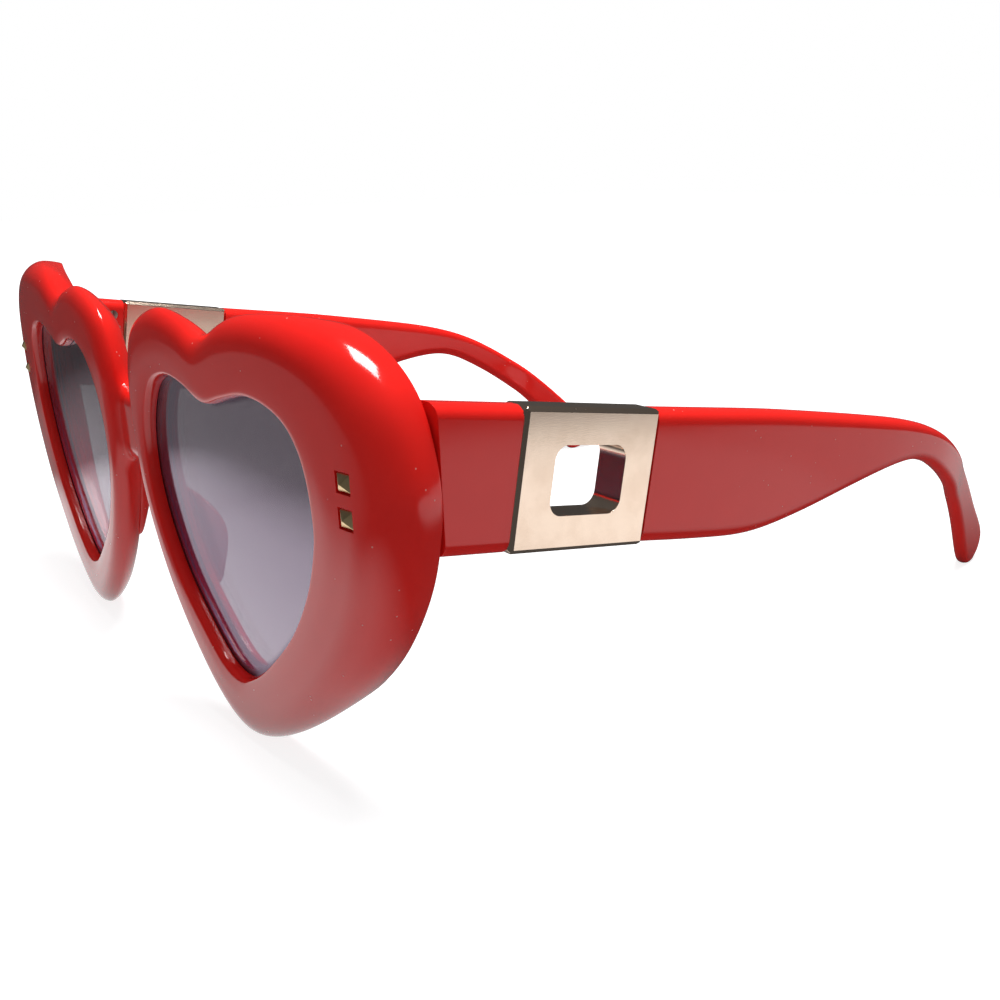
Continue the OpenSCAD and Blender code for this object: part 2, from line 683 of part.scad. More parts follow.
// The pad's height at its ends as a share of its height in the middle
pad_end_rise_share = 0.12;
module nose_pad()
    color("#cf2420") front_place()
        skin([
            for (i = [pad_from : pad_to])
                let (
                    u = (i - pad_from) / (pad_to - pad_from),
                    swell = max(pow(sin(180 * pow(u, pad_lean_power)), pad_swell_share), pad_end_rise_share),
                    far = band(i) - bevel_at(i) * pad_foot_share[0],
                    near = lip_round / 2
                ) concat(
                    [for (q = [len(rear_shares) - 1 : -1 : 1]) edge_point(i, rear_shares[q], pad_clear)],
                    [
                        for (q = pad_shares)
                            rear_point(
                                i, far + (near - far) * q[0] - pad_splay * swell * q[0],
                                pad_clear + pad_rise * swell * q[1]
                            )
                    ],
                    [rear_point(i, near, pad_clear)]
                )
        ]);

// A square stud: its pyramid, its plate in the recess and its pin in the rim
module stud(side)
    color("#e6c27c") stud_place(side) {
        rotate([0, 0, 45]) cylinder(d1 = stud_w * sqrt(2), d2 = 0, h = stud_h, $fn = 4);
        span([-stud_w / 2, -stud_w / 2, screw_clear - stud_seat], [stud_w / 2, stud_w / 2, 0]);
        translate([0, 0, -stud_seat - stud_pin_l]) cylinder(d = stud_pin_d, h = stud_pin_l + stud_seat);
    }

front_frame();
lens();  // lens_left
on_right() lens();  // lens_right
nose_pad();  // nose_pad_left
on_right() nose_pad();  // nose_pad_right
stud(1);  // stud_left_upper
stud(-1);  // stud_left_lower
on_right() stud(1);  // stud_right_upper
on_right() stud(-1);  // stud_right_lower
front_hinge();  // front_hinge_left
on_right() front_hinge();  // front_hinge_right
temple_hinge();  // temple_hinge_left
on_right() temple_hinge();  // temple_hinge_right
hinge_screw();  // hinge_screw_left
on_right() hinge_screw();  // hinge_screw_right
temple_front();  // temple_front_left
on_right() temple_front();  // temple_front_right
temple_link();  // temple_link_left
on_right() temple_link();  // temple_link_right
link_screws();  // link_screws_left
on_right() link_screws();  // link_screws_right
temple_rear();  // temple_rear_left
on_right() temple_rear();  // temple_rear_right
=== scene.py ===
"""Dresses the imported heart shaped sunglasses: smooth red plastic, tinted lenses and polished metal fittings.

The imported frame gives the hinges' places. Sizes are in millimetres until a mesh is made, then in metres.
"""

import json
import logging
import math
from dataclasses import dataclass
from enum import Enum
from typing import Any, Callable, Sequence

import bmesh
import bpy
import numpy as np
from mathutils import Matrix, Vector


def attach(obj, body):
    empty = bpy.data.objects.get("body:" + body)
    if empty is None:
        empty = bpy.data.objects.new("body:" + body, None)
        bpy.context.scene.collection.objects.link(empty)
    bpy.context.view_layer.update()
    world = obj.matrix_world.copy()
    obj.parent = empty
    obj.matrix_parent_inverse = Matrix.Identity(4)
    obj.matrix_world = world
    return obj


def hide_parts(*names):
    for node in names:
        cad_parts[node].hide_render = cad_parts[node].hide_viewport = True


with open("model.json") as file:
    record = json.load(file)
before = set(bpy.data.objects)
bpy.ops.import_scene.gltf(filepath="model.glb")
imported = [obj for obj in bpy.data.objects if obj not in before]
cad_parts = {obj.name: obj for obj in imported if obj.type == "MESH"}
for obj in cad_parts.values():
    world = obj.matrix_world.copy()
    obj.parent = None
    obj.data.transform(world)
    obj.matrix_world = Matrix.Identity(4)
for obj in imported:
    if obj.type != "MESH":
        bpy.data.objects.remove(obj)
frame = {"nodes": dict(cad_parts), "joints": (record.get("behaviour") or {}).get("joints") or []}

LOG = logging.getLogger("sunglasses")
MM = 0.001
SEAM_GAP = 1e-6
EDGE_SHARE = "edge_share"
WHITE = (1.0, 1.0, 1.0)
Colour = tuple[float, float, float]
Shares = tuple[tuple[float, float], ...]
Solid = tuple[np.ndarray, list[list[int]]]


class Side(Enum):
    """One side of the face, named as the wearer sees it."""

    LEFT = 1
    RIGHT = -1

    @property
    def word(self) -> str:
        """The side's name as the nodes spell it."""
        return self.name.lower()

    @property
    def temple(self) -> str:
        """The body that this side's temple belongs to."""
        return f"temple_{self.word}"

    def node(self, pattern: str) -> str:
        """The name of this side's node, from a pattern with {} for the side."""
        return pattern.format(self.word)


class Slot(Enum):
    """The record's material slots."""

    FRAME = "frame"
    LENS = "lens"
    STUD = "stud_metal"
    LINK = "link_metal"
    HINGE = "hinge_metal"
    SCREW = "screw_metal"


class Cut(Enum):
    """What a Boolean does with its second mesh."""

    JOIN = "UNION"
    REMOVE = "DIFFERENCE"


# Node trees


class Value:
    """A number in a node tree, which adds Math nodes when it is used in an expression."""

    def __init__(self, graph: "Graph", socket: bpy.types.NodeSocket) -> None:
        """Wraps a socket of a graph."""
        self.graph = graph
        self.socket = socket

    def _join(self, operation: str, *values: Any) -> "Value":
        """Adds one Math node that works on the values."""
        return self.graph.value("ShaderNodeMath", {"operation": operation}, dict(enumerate(values)))

    def __add__(self, other: Any) -> "Value":
        """This value plus another."""
        return self._join("ADD", self, other)

    def __sub__(self, other: Any) -> "Value":
        """This value less another."""
        return self._join("SUBTRACT", self, other)

    def __rsub__(self, other: Any) -> "Value":
        """A number less this value."""
        return self._join("SUBTRACT", other, self)

    def __mul__(self, other: Any) -> "Value":
        """This value times another."""
        return self._join("MULTIPLY", self, other)

    def __truediv__(self, other: Any) -> "Value":
        """This value divided by another."""
        return self._join("DIVIDE", self, other)

    __radd__ = __add__
    __rmul__ = __mul__

    def root(self) -> "Value":
        """The square root."""
        return self._join("SQRT", self)

    def floor(self) -> "Value":
        """The whole number below."""
        return self._join("FLOOR", self)

    def modulo(self, other: Any) -> "Value":
        """What is left after division by another value."""
        return self._join("FLOORED_MODULO", self, other)

    def least(self, other: Any) -> "Value":
        """The smaller of this value and another."""
        return self._join("MINIMUM", self, other)

    def most(self, other: Any) -> "Value":
        """The larger of this value and another."""
        return self._join("MAXIMUM", self, other)

    def step(self, low: float, high: float) -> "Value":
        """A soft step from 0 at low to 1 at high."""
        return self.graph.value(
            "ShaderNodeMapRange", {"interpolation_type": "SMOOTHSTEP"},
            {"Value": self, "From Min": low, "From Max": high},
        )


class Graph:
    """A node tree with one call that adds any node."""

    def __init__(self, tree: bpy.types.NodeTree) -> None:
        """Empties a tree and keeps it."""
        self.tree = tree
        tree.nodes.clear()

    def node(
        self, kind: str, settings: dict[str, Any] | None = None, inputs: dict[Any, Any] | None = None
    ) -> bpy.types.Node:
        """Adds a node.

        Args:
            kind: The node's type.
            settings: Its settings, set first.
            inputs: Values or links for its sockets, by name or number.

        Returns:
            The new node.
        """
        made = self.tree.nodes.new(kind)
        for name, setting in (settings or {}).items():
            setattr(made, name, setting)
        for key, given in (inputs or {}).items():
            self.feed(made.inputs[key], given)
        return made

    def feed(self, socket: bpy.types.NodeSocket, given: Any) -> None:
        """Links or sets a socket by a value, another socket or a constant."""
        if isinstance(given, Value):
            given = given.socket
        if isinstance(given, bpy.types.NodeSocket):
            self.tree.links.new(given, socket)
        elif socket.type == "RGBA" and len(given) == 3:
            socket.default_value = (*given, 1.0)
        else:
            socket.default_value = given

    def value(self, kind: str, settings: dict[str, Any], inputs: dict[Any, Any], output: Any = 0) -> Value:
        """Adds a node and wraps one of its outputs as a value."""
        return Value(self, self.node(kind, settings, inputs).outputs[output])

    def split(self, vector: Any) -> tuple[Value, ...]:
        """The three parts of a vector."""
        parts = self.node("ShaderNodeSeparateXYZ", {}, {0: vector}).outputs
        return tuple(Value(self, part) for part in parts)

    def join(self, x: Any, y: Any, z: Any) -> bpy.types.NodeSocket:
        """A vector of three parts."""
        return self.node("ShaderNodeCombineXYZ", {}, {0: x, 1: y, 2: z}).outputs[0]

    def seen(self, path: bpy.types.Node) -> Value:
        """1 where the camera sees a point itself or through a clear piece, from a Light Path node."""
        through = Value(self, path.outputs["Is Transmission Ray"])
        return Value(self, path.outputs["Is Camera Ray"]).most(through)


class Rule(Graph):
    """A geometry tree with named inputs, which ends in one real mesh with its finish."""

    def __init__(self, name: str, kinds: dict[str, str]) -> None:
        """Makes the tree and its interface.

        Args:
            name: The tree's name.
            kinds: The kind of each input by name. The finish is added to them.
        """
        tree = bpy.data.node_groups.new(name, "GeometryNodeTree")
        for label, kind in (kinds | {"Finish": "Material"}).items():
            tree.interface.new_socket(name=label, in_out="INPUT", socket_type=f"NodeSocket{kind}")
        tree.interface.new_socket(name="Result", in_out="OUTPUT", socket_type="NodeSocketGeometry")
        super().__init__(tree)
        self.given = self.node("NodeGroupInput").outputs

    def end(self, geometry: bpy.types.NodeSocket) -> None:
        """Makes the geometry real, gives it the finish and hands it out."""
        real = self.node("GeometryNodeRealizeInstances", {}, {"Geometry": geometry})
        dressed = self.node(
            "GeometryNodeSetMaterial", {}, {"Geometry": real.outputs[0], "Material": self.given["Finish"]}
        )
        self.node("NodeGroupOutput", {}, {0: dressed.outputs[0]})

    def run(self, shape: "Shape", values: dict[str, Any]) -> "Shape":
        """Runs the tree on a shape and keeps the result as its plain mesh.

        Args:
            shape: The shape whose mesh goes in.
            values: The inputs by name.

        Returns:
            The shape itself.
        """
        modifier = shape.object.modifiers.new("rule", "NODES")
        modifier.node_group = self.tree
        for item in self.tree.interface.items_tree:
            if item.item_type == "SOCKET" and item.in_out == "INPUT" and item.name in values:
                modifier[item.identifier] = values[item.name]
        shape.object.update_tag()
        bpy.context.view_layer.update()
        return shape.settle()


@dataclass(frozen=True)
class Layer:
    """A layer of noise: its size in millimetres, how fine, rough and stretched it is, and its soft step."""

    size: float
    detail: float
    rough: float
    stretch: Colour = (1, 1, 1)
    low: float = 0.0
    high: float = 1.0


@dataclass(frozen=True)
class Dust:
    """Small specks: how far apart and how wide they are in millimetres, and how much colour they add."""

    apart: float
    size: float
    share: float
    core: float = 0.3
    chosen_from: float = 0.55
    chosen_to: float = 0.7


class Shader(Graph):
    """The tree of one material."""

    def __init__(self, name: str) -> None:
        """Makes the material and reads the object's own coordinates."""
        self.material = bpy.data.materials.new(name)
        self.material.use_nodes = True
        super().__init__(self.material.node_tree)
        self.place = self.node("ShaderNodeTexCoord").outputs["Object"]

    def noise(self, layer: Layer) -> Value:
        """A layer's noise, about 0 to 1."""
        scale = tuple(1 / (layer.size * MM * s) for s in layer.stretch)
        place = self.node("ShaderNodeMapping", {}, {"Vector": self.place, "Scale": scale}).outputs[0]
        settings = {"Vector": place, "Scale": 1.0, "Detail": layer.detail, "Roughness": layer.rough}
        return self.value("ShaderNodeTexNoise", {}, settings, "Fac")

    def specks(self, dust: Dust) -> Value:
        """The mask of fine dust: 1 on small specks, 0 elsewhere."""
        cells = self.node(
            "ShaderNodeTexVoronoi", {"feature": "F1"},
            {"Vector": self.place, "Scale": 1 / (dust.apart * MM), "Randomness": 1.0},
        )
        chosen = self.split(cells.outputs["Color"])[0].step(dust.chosen_from, dust.chosen_to)
        distance = Value(self, cells.outputs["Distance"])
        off = distance.step(dust.core * dust.size / dust.apart, dust.size / dust.apart)
        return (1 - off) * chosen

    def mix(self, factor: Any, first: Any, second: Any) -> bpy.types.NodeSocket:
        """Mixes two colours, where the factor is the second one's share."""
        return self.node("ShaderNodeMix", {"data_type": "RGBA"}, {0: factor, 6: first, 7: second}).outputs[2]

    def bump(self, height: Value, distance: float) -> bpy.types.NodeSocket:
        """A normal from a height, where a height of 1 stands for a distance in millimetres."""
        settings = {"Height": height, "Distance": distance * MM, "Strength": 1.0}
        return self.node("ShaderNodeBump", {}, settings).outputs[0]

    def principled(self, inputs: dict[str, Any]) -> bpy.types.Material:
        """Ends the tree in a Principled shader with the given sockets, and hands out the material."""
        shader = self.node("ShaderNodeBsdfPrincipled", {}, inputs)
        self.node("ShaderNodeOutputMaterial", {}, {"Surface": shader.outputs[0]})
        return self.material

    def glow(self, strength: Any) -> bpy.types.NodeSocket:
        """White light of a strength."""
        return self.node("ShaderNodeEmission", {}, {"Color": WHITE, "Strength": strength}).outputs[0]


@dataclass(frozen=True)
class PlasticFinish:
    """Glossy moulded plastic with faint waviness, fine scratches and a little dust."""

    name: str = "glossy_red_plastic"
    colour: Colour = (0.90, 0.022, 0.016)
    deep: Colour = (0.84, 0.014, 0.011)
    dusty: Colour = (0.85, 0.55, 0.5)
    dust: Dust = Dust(1.7, 0.16, 0.55)
    cloud: Layer = Layer(26, 3, 0.55, low=0.25, high=0.8)
    scratches: Layer = Layer(0.35, 2, 0.6, (14, 9, 1.5), 0.62, 0.78)
    swirl: Layer = Layer(7, 3, 0.6)
    waves: Layer = Layer(5, 2, 0.45)
    wave: float = 0.012
    rough: float = 0.11
    ior: float = 1.47
    coat: float = 0.16
    coat_rough: float = 0.04
    coat_ior: float = 1.45
    depth: Colour = (1.0, 0.12, 0.06)
    depth_share: float = 0.06
    depth_scale: float = 0.0012

    def material(self) -> bpy.types.Material:
        """Builds the material."""
        shader = Shader(self.name)
        cloud = shader.noise(self.cloud).step(self.cloud.low, self.cloud.high)
        specks = shader.specks(self.dust)
        scratches = shader.noise(self.scratches).step(self.scratches.low, self.scratches.high)
        swirl = shader.noise(self.swirl)
        base = shader.mix(cloud, self.colour, self.deep)
        base = shader.mix(specks * self.dust.share, base, self.dusty)
        height = shader.noise(self.waves) * 0.8 + scratches * 0.05 + specks * 0.35
        return shader.principled(
            {
                "Base Color": base,
                "Roughness": self.rough + swirl * 0.05 + scratches * 0.06 + specks * 0.3,
                "Normal": shader.bump(height, self.wave),
                "IOR": self.ior,
                "Coat Weight": self.coat - specks * 0.12,
                "Coat Roughness": self.coat_rough,
                "Coat IOR": self.coat_ior,
                "Subsurface Weight": self.depth_share,
                "Subsurface Radius": self.depth,
                "Subsurface Scale": self.depth_scale,
            }
        )


@dataclass(frozen=True)
class LensFinish:
    """A tinted lens, dark at its top and lilac grey at its bottom, with a faint haze of dust and a painted
    shade band round its rim.
    """

    name: str = "tinted_lens"
    top: Colour = (0.06, 0.035, 0.045)
    bottom: Colour = (0.15, 0.06, 0.19)
    dusty: Colour = (0.6, 0.56, 0.6)
    dust: Dust = Dust(2.6, 0.12, 0.4)
    streaks: Layer = Layer(18, 2, 0.5, (1, 1, 0.4))
    waves: Layer = Layer(14, 1, 0.4)
    wave: float = 0.01
    low: float = 9.0
    high: float = 49.5
    clear_top: float = 0.17
    clear_bottom: float = 0.39
    # edge and the two values after it: painted shade, a near-black band round the lens's rim that stands in
    # for the shaded groove wall the lens reflects there
    edge: Colour = (0.030, 0.008, 0.012)
    edge_from: float = 0.90
    edge_to: float = 0.955
    rough: float = 0.07
    ior: float = 2.25
    tint: tuple[float, ...] = (0.9, 0.62, 1.0, 1.0)
    coat: float = 0.4
    coat_rough: float = 0.03

    def material(self) -> bpy.types.Material:
        """Builds the material."""
        shader = Shader(self.name)
        height = shader.split(shader.place)[2].step(self.low * MM, self.high * MM)
        streaks = shader.noise(self.streaks)
        specks = shader.specks(self.dust)
        base = shader.mix(height, self.bottom, self.top)
        base = shader.mix(specks * self.dust.share, base, self.dusty)
        share = shader.value("ShaderNodeAttribute", {"attribute_name": EDGE_SHARE}, {}, "Fac")
        # Painted shade: the band round the rim darkens the base colour, turns opaque and loses its coat
        edge = share.step(self.edge_from, self.edge_to)
        base = shader.mix(edge, base, self.edge)
        clear = (self.clear_bottom + height * (self.clear_top - self.clear_bottom)) * (1 - edge)
        return shader.principled(
            {
                "Base Color": base,
                "Alpha": (1 - clear + specks * 0.3).least(1.0),
                "Roughness": self.rough + streaks * 0.05 + specks * 0.3 + edge * 0.25,
                "Normal": shader.bump(shader.noise(self.waves), self.wave),
                "IOR": self.ior,
                "Specular Tint": self.tint,
                "Coat Weight": (self.coat - specks * 0.3) * (1 - edge),
                "Coat Roughness": self.coat_rough,
            }
        )


@dataclass(frozen=True)
class MetalFinish:
    """Plated metal with hairline scratches and slightly worn, cloudy gloss."""

    name: str
    colour: Colour
    shade: Colour
    rough: float
    hairlines: Layer
    hairline_depth: float = 0.002
    cloud: Layer = Layer(4, 3, 0.6, low=0.3, high=0.75)
    pits: Dust = Dust(0.9, 0.09, 0.5)
    pit_shade: float = 0.45

    def material(self) -> bpy.types.Material:
        """Builds the material."""
        shader = Shader(self.name)
        hairlines = shader.noise(self.hairlines)
        cloud = shader.noise(self.cloud)
        pits = shader.specks(self.pits)
        base = shader.mix(cloud.step(self.cloud.low, self.cloud.high), self.colour, self.shade)
        base = shader.mix(pits * self.pits.share, base, tuple(self.pit_shade * c for c in self.shade))
        return shader.principled(
            {
                "Base Color": base,
                "Metallic": 1.0,
                "Roughness": self.rough + cloud * 0.07 + hairlines * 0.06 + pits * 0.2,
                "Normal": shader.bump(hairlines - pits * 0.6, self.hairline_depth),
            }
        )


def hairlines(*stretch: float) -> Layer:
    """A metal's hairlines, stretched along X, Y and Z."""
    return Layer(0.12, 3, 0.65, stretch)


METALS = {
    Slot.LINK: MetalFinish(
        "rose_gold_plate", (0.97, 0.77, 0.62), (0.92, 0.71, 0.56), 0.12, hairlines(1, 12, 1)
    ),
    Slot.STUD: MetalFinish(
        "pale_gold_plate", (0.96, 0.78, 0.46), (0.85, 0.64, 0.34), 0.3, hairlines(1, 1, 3)
    ),
    Slot.HINGE: MetalFinish(
        "satin_hinge_plate", (0.72, 0.55, 0.45), (0.62, 0.46, 0.37), 0.28, hairlines(1, 1, 8)
    ),
    Slot.SCREW: MetalFinish(
        "satin_screw_plate", (0.70, 0.58, 0.50), (0.58, 0.46, 0.40), 0.26, hairlines(6, 1, 1)
    ),
}


@dataclass(frozen=True)
class Card:
    """A white strip along X on the sweep, with soft round edges, which only glosses show. Sizes in metres."""

    x: float
    y: float
    reach: float
    inner: float
    outer: float
    strength: float


@dataclass(frozen=True)
class PaperFinish:
    """The pale sweep under the sunglasses. The camera sees it lit up to white, and it keeps the shadow.

    near and far are in metres from its middle.
    """

    name: str = "white_sweep"
    colour: Colour = (0.40, 0.40, 0.41)
    grain: Layer = Layer(1.5, 4, 0.6)
    grain_shade: float = 0.97
    rough: float = 0.8
    glow_near: float = 0.84
    glow_far: float = 1.0
    near: float = 0.12
    far: float = 0.42
    dim: float = 0.07
    cards: tuple[Card, ...] = (
        Card(-0.02, -0.10, 0.07, 0.015, 0.064, 1.2), Card(-0.12, -0.20, 0.0, 0.10, 0.22, 0.3),
        Card(0.17, 0.045, 0.0, 0.05, 0.09, 1.05), Card(0.14, 0.17, 0.0, 0.06, 0.14, 0.85),
    )

    def material(self) -> bpy.types.Material:
        """Builds the material."""
        shader = Shader(self.name)
        grain = shader.noise(self.grain)
        base = shader.mix(grain, self.colour, tuple(self.grain_shade * c for c in self.colour))
        x, y, _ = shader.split(shader.place)
        away = (x * x + y * y).root().step(self.near, self.far)
        paper = shader.node("ShaderNodeBsdfDiffuse", {}, {"Color": base, "Roughness": self.rough})
        path = shader.node("ShaderNodeLightPath")
        glow = self.glow_near + away * (self.glow_far - self.glow_near)
        lit = shader.glow(shader.seen(path) * glow)
        both = shader.node("ShaderNodeAddShader", {}, {0: paper.outputs[0], 1: lit})
        shine: Any = self.dim
        for card in self.cards:
            across, along = x - card.x, y - card.y
            beyond = ((across * across).root() - card.reach).most(0.0)
            off = (beyond * beyond + along * along).root().step(card.inner, card.outer)
            shine = ((1 - off) * card.strength).most(shine)
        sides = {0: path.outputs["Is Glossy Ray"], 1: both.outputs[0], 2: shader.glow(shine)}
        mixed = shader.node("ShaderNodeMixShader", {}, sides)
        shader.node("ShaderNodeOutputMaterial", {}, {"Surface": mixed.outputs[0]})
        return shader.material


class Finishes:
    """Every finish on the object, built once."""

    def __init__(self) -> None:
        """Builds the material of each of the record's slots."""
        looks = {Slot.FRAME: PlasticFinish(), Slot.LENS: LensFinish()} | METALS
        self.materials = {slot: look.material() for slot, look in looks.items()}

    def of(self, slot: Slot) -> bpy.types.Material:
        """The material for one of the record's slots."""
        return self.materials[slot]


# Mesh tools


class Shape:
    """A mesh object at the origin, with the steps that shape it."""

    merge_gap = 0.002
    level_angle = 0.4
    face_weight = 60

    def __init__(self, name: str, points: np.ndarray, faces: Sequence[Sequence[int]]) -> None:
        """Makes the object.

        Args:
            name: The piece's name.
            points: Its points in millimetres.
            faces: Its faces as point numbers, seen anticlockwise from outside.
        """
        mesh = bpy.data.meshes.new(name)
        mesh.from_pydata([tuple(p) for p in np.asarray(points, float) * MM], [], [list(f) for f in faces])
        self.object = bpy.data.objects.new(name, mesh)
        bpy.context.scene.collection.objects.link(self.object)

    @classmethod
    def skin(cls, name: str, rings: np.ndarray, loop: bool) -> "Shape":
        """Joins rings into a skin.

        Args:
            name: The piece's name.
            rings: Rings of equal length, as an array of rings, points and coordinates in millimetres.
            loop: Whether the rings close on themselves. Otherwise both ends get a cap.

        Returns:
            The new shape, with its faces pointing outwards.
        """
        n, m = rings.shape[:2]
        faces: list[list[int]] = [
            [i * m + j, i * m + (j + 1) % m, (i + 1) % n * m + (j + 1) % m, (i + 1) % n * m + j]
            for i in range(n if loop else n - 1) for j in range(m)
        ]
        if not loop:
            faces += [list(range(m))[::-1], [(n - 1) * m + j for j in range(m)]]
        return cls(name, rings.reshape(-1, 3), faces).turned_out()

    @classmethod
    def copy_of(cls, node: str, name: str) -> "Shape":
        """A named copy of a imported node's mesh, with flat faces instead of loose triangles."""
        source = frame["nodes"][node].data
        corners = np.array([v.co for v in source.vertices], float) / MM
        made = cls(name, corners, [list(p.vertices) for p in source.polygons])

        def tidy(cage: bmesh.types.BMesh) -> None:
            """Merges the triangles and clears the edges between level faces."""
            bmesh.ops.remove_doubles(cage, verts=cage.verts, dist=cls.merge_gap * MM)
            angle = math.radians(cls.level_angle)
            bmesh.ops.dissolve_limit(cage, angle_limit=angle, verts=cage.verts, edges=cage.edges)

        return made.edit(tidy)

    def edit(self, change: Callable[[bmesh.types.BMesh], Any]) -> "Shape":
        """Changes the mesh by a function that changes an edit mesh, and hands back the shape."""
        cage = bmesh.new()
        cage.from_mesh(self.object.data)
        change(cage)
        cage.to_mesh(self.object.data)
        cage.free()
        return self

    def turned_out(self) -> "Shape":
        """Turns the faces outwards."""
        return self.edit(lambda cage: bmesh.ops.recalc_face_normals(cage, faces=cage.faces))

    def keep_first(self) -> list[np.ndarray]:
        """Keeps the first of the mesh's separate pieces and centres it on the origin.

        Returns:
            The middles of all the separate pieces, in millimetres.
        """
        middles: list[np.ndarray] = []

        def pick(cage: bmesh.types.BMesh) -> None:
            """Walks the pieces and deletes all but the first."""
            cage.verts.ensure_lookup_table()
            seen: set[int] = set()
            spare: list[bmesh.types.BMVert] = []
            for start in cage.verts:
                if start.index in seen:
                    continue
                seen.add(start.index)
                piece = [start]
                for vert in piece:
                    near = [edge.other_vert(vert) for edge in vert.link_edges]
                    fresh = [other for other in near if other.index not in seen]
                    seen.update(other.index for other in fresh)
                    piece += fresh
                corners = np.array([vert.co for vert in piece], float)
                middles.append((corners.min(0) + corners.max(0)) / 2 / MM)
                if len(middles) > 1:
                    spare += piece
            bmesh.ops.delete(cage, geom=spare, context="VERTS")
            bmesh.ops.translate(cage, verts=cage.verts, vec=-Vector(middles[0] * MM))

        self.edit(pick)
        return middles

    def modify(self, kind: str, **settings: Any) -> "Shape":
        """Applies one modifier of a type, with its settings, and hands back the shape."""
        modifier = self.object.modifiers.new("step", kind)
        for name, setting in settings.items():
            setattr(modifier, name, setting)
        return self.settle()

    def settle(self) -> "Shape":
        """Turns the evaluated object into a plain mesh and drops its modifiers."""
        seen = self.object.evaluated_get(bpy.context.evaluated_depsgraph_get())
        mesh = bpy.data.meshes.new_from_object(seen)
        self.object.modifiers.clear()
        old, self.object.data = self.object.data, mesh
        bpy.data.meshes.remove(old)
        return self

    def rounded(self, levels: int) -> "Shape":
        """Subdivides the cage into a smooth surface."""
        return self.modify("SUBSURF", levels=levels, render_levels=levels)

    def cut(self, other: "Shape", how: Cut) -> "Shape":
        """Joins or removes another shape, which is used up."""
        bpy.context.view_layer.update()
        self.modify("BOOLEAN", object=other.object, operation=how.value, solver="EXACT")
        bpy.data.objects.remove(other.object)
        return self

    def bevelled(self, width: float, angle: float = 24, segments: int = 3) -> "Shape":
        """Rounds the sharp edges.

        Args:
            width: The rounding's width in millimetres.
            angle: The least angle of an edge that is rounded, in degrees.
            segments: The rounding's steps.

        Returns:
            The shape itself.
        """
        return self.modify(
            "BEVEL", width=width * MM, segments=segments, limit_method="ANGLE",
            angle_limit=math.radians(angle), use_clamp_overlap=True, miter_outer="MITER_ARC",
        )

    def shaded(self, angle: float) -> "Shape":
        """Shades the shape smooth, with sharp edges over an angle in degrees."""
        mesh = self.object.data
        mesh.polygons.foreach_set("use_smooth", [True] * len(mesh.polygons))
        mesh.set_sharp_from_angle(angle=math.radians(angle))
        return self

    def levelled(self) -> "Shape":
        """Keeps large flat faces looking flat beside their rounded edges."""
        return self.modify("WEIGHTED_NORMAL", keep_sharp=True, weight=self.face_weight)

    def dress(self, finishes: Finishes, slot: Slot, body: str, *nodes: str) -> bpy.types.Object:
        """Gives the finished piece its finish and its body, and hides the nodes that it stands for.

        Args:
            finishes: The object's finishes.
            slot: The record's slot that it belongs to.
            body: The body that it moves with.
            nodes: The nodes that it replaces.

        Returns:
            The finished object.
        """
        self.object.data.materials.clear()
        self.object.data.materials.append(finishes.of(slot))
        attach(self.object, body)
        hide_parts(*nodes)
        LOG.info("%s: %d faces, on %s", self.object.name, len(self.object.data.polygons), body)
        return self.object


def block(low: Sequence[float], high: Sequence[float]) -> Solid:
    """The points and faces of a box between its lowest and its highest corner."""
    points = np.array([[(low, high)[i][0], (low, high)[j][1], (low, high)[k][2]]
                       for i in (0, 1) for j in (0, 1) for k in (0, 1)], float)
    return points, [[0, 1, 3, 2], [4, 6, 7, 5], [0, 4, 5, 1], [2, 3, 7, 6], [0, 2, 6, 4], [1, 5, 7, 3]]


def barrel(radius: float, low: float, high: float, sides: int = 40) -> Solid:
    """A cylinder along X.

    Args:
        radius: Its radius.
        low: Where it begins.
        high: Where it ends.
        sides: How many sides it has.

    Returns:
        Its points and faces.
    """
    turn = np.linspace(0, 2 * math.pi, sides, endpoint=False)
    ring = np.stack([np.zeros(sides), radius * np.cos(turn), radius * np.sin(turn)], 1)
    points = np.concatenate([ring + [low, 0, 0], ring + [high, 0, 0]])
    faces = [[i, (i + 1) % sides, sides + (i + 1) % sides, sides + i][::-1] for i in range(sides)]
    return points, faces + [list(range(sides))[::-1], list(range(sides, 2 * sides))][::-1]


def gathered(name: str, parts: Sequence[Solid]) -> Shape:
    """One shape of several separate solids."""
    faces: list[list[int]] = []
    count = 0
    for part_points, part_faces in parts:
        faces += [[count + i for i in f] for f in part_faces]
        count += len(part_points)
    return Shape(name, np.concatenate([points for points, _ in parts]), faces).turned_out()


def smooth_curve(points: np.ndarray, steps: int, closed: bool) -> np.ndarray:
    """A smooth curve through points.

    Args:
        points: The points, one a row.
        steps: Steps between two neighbouring points.
        closed: Whether the curve closes on itself.

    Returns:
        The curve's points.
    """
    n = len(points)
    spans = range(n if closed else n - 1)
    rows = []
    for i in spans:
        near = [(i + k) % n if closed else min(max(i + k, 0), n - 1) for k in (-1, 0, 1, 2)]
        p0, p1, p2, p3 = (points[k] for k in near)
        for j in range(steps):
            t = j / steps
            rows.append(
                (2 * p1 + (p2 - p0) * t + (2 * p0 - 5 * p1 + 4 * p2 - p3) * t * t
                 + (3 * p1 - p0 - 3 * p2 + p3) * t ** 3) / 2
            )
    return np.array(rows if closed else rows + [points[-1]])


def tilt(degrees: float) -> np.ndarray:
    """The matrix of a turn about X, in degrees."""
    a = math.radians(degrees)
    return np.array([[1, 0, 0], [0, math.cos(a), -math.sin(a)], [0, math.sin(a), math.cos(a)]])


def swing(degrees: float) -> np.ndarray:
    """The matrix of a turn about Z, in degrees."""
    a = math.radians(degrees)
    return np.array([[math.cos(a), -math.sin(a), 0], [math.sin(a), math.cos(a), 0], [0, 0, 1]])


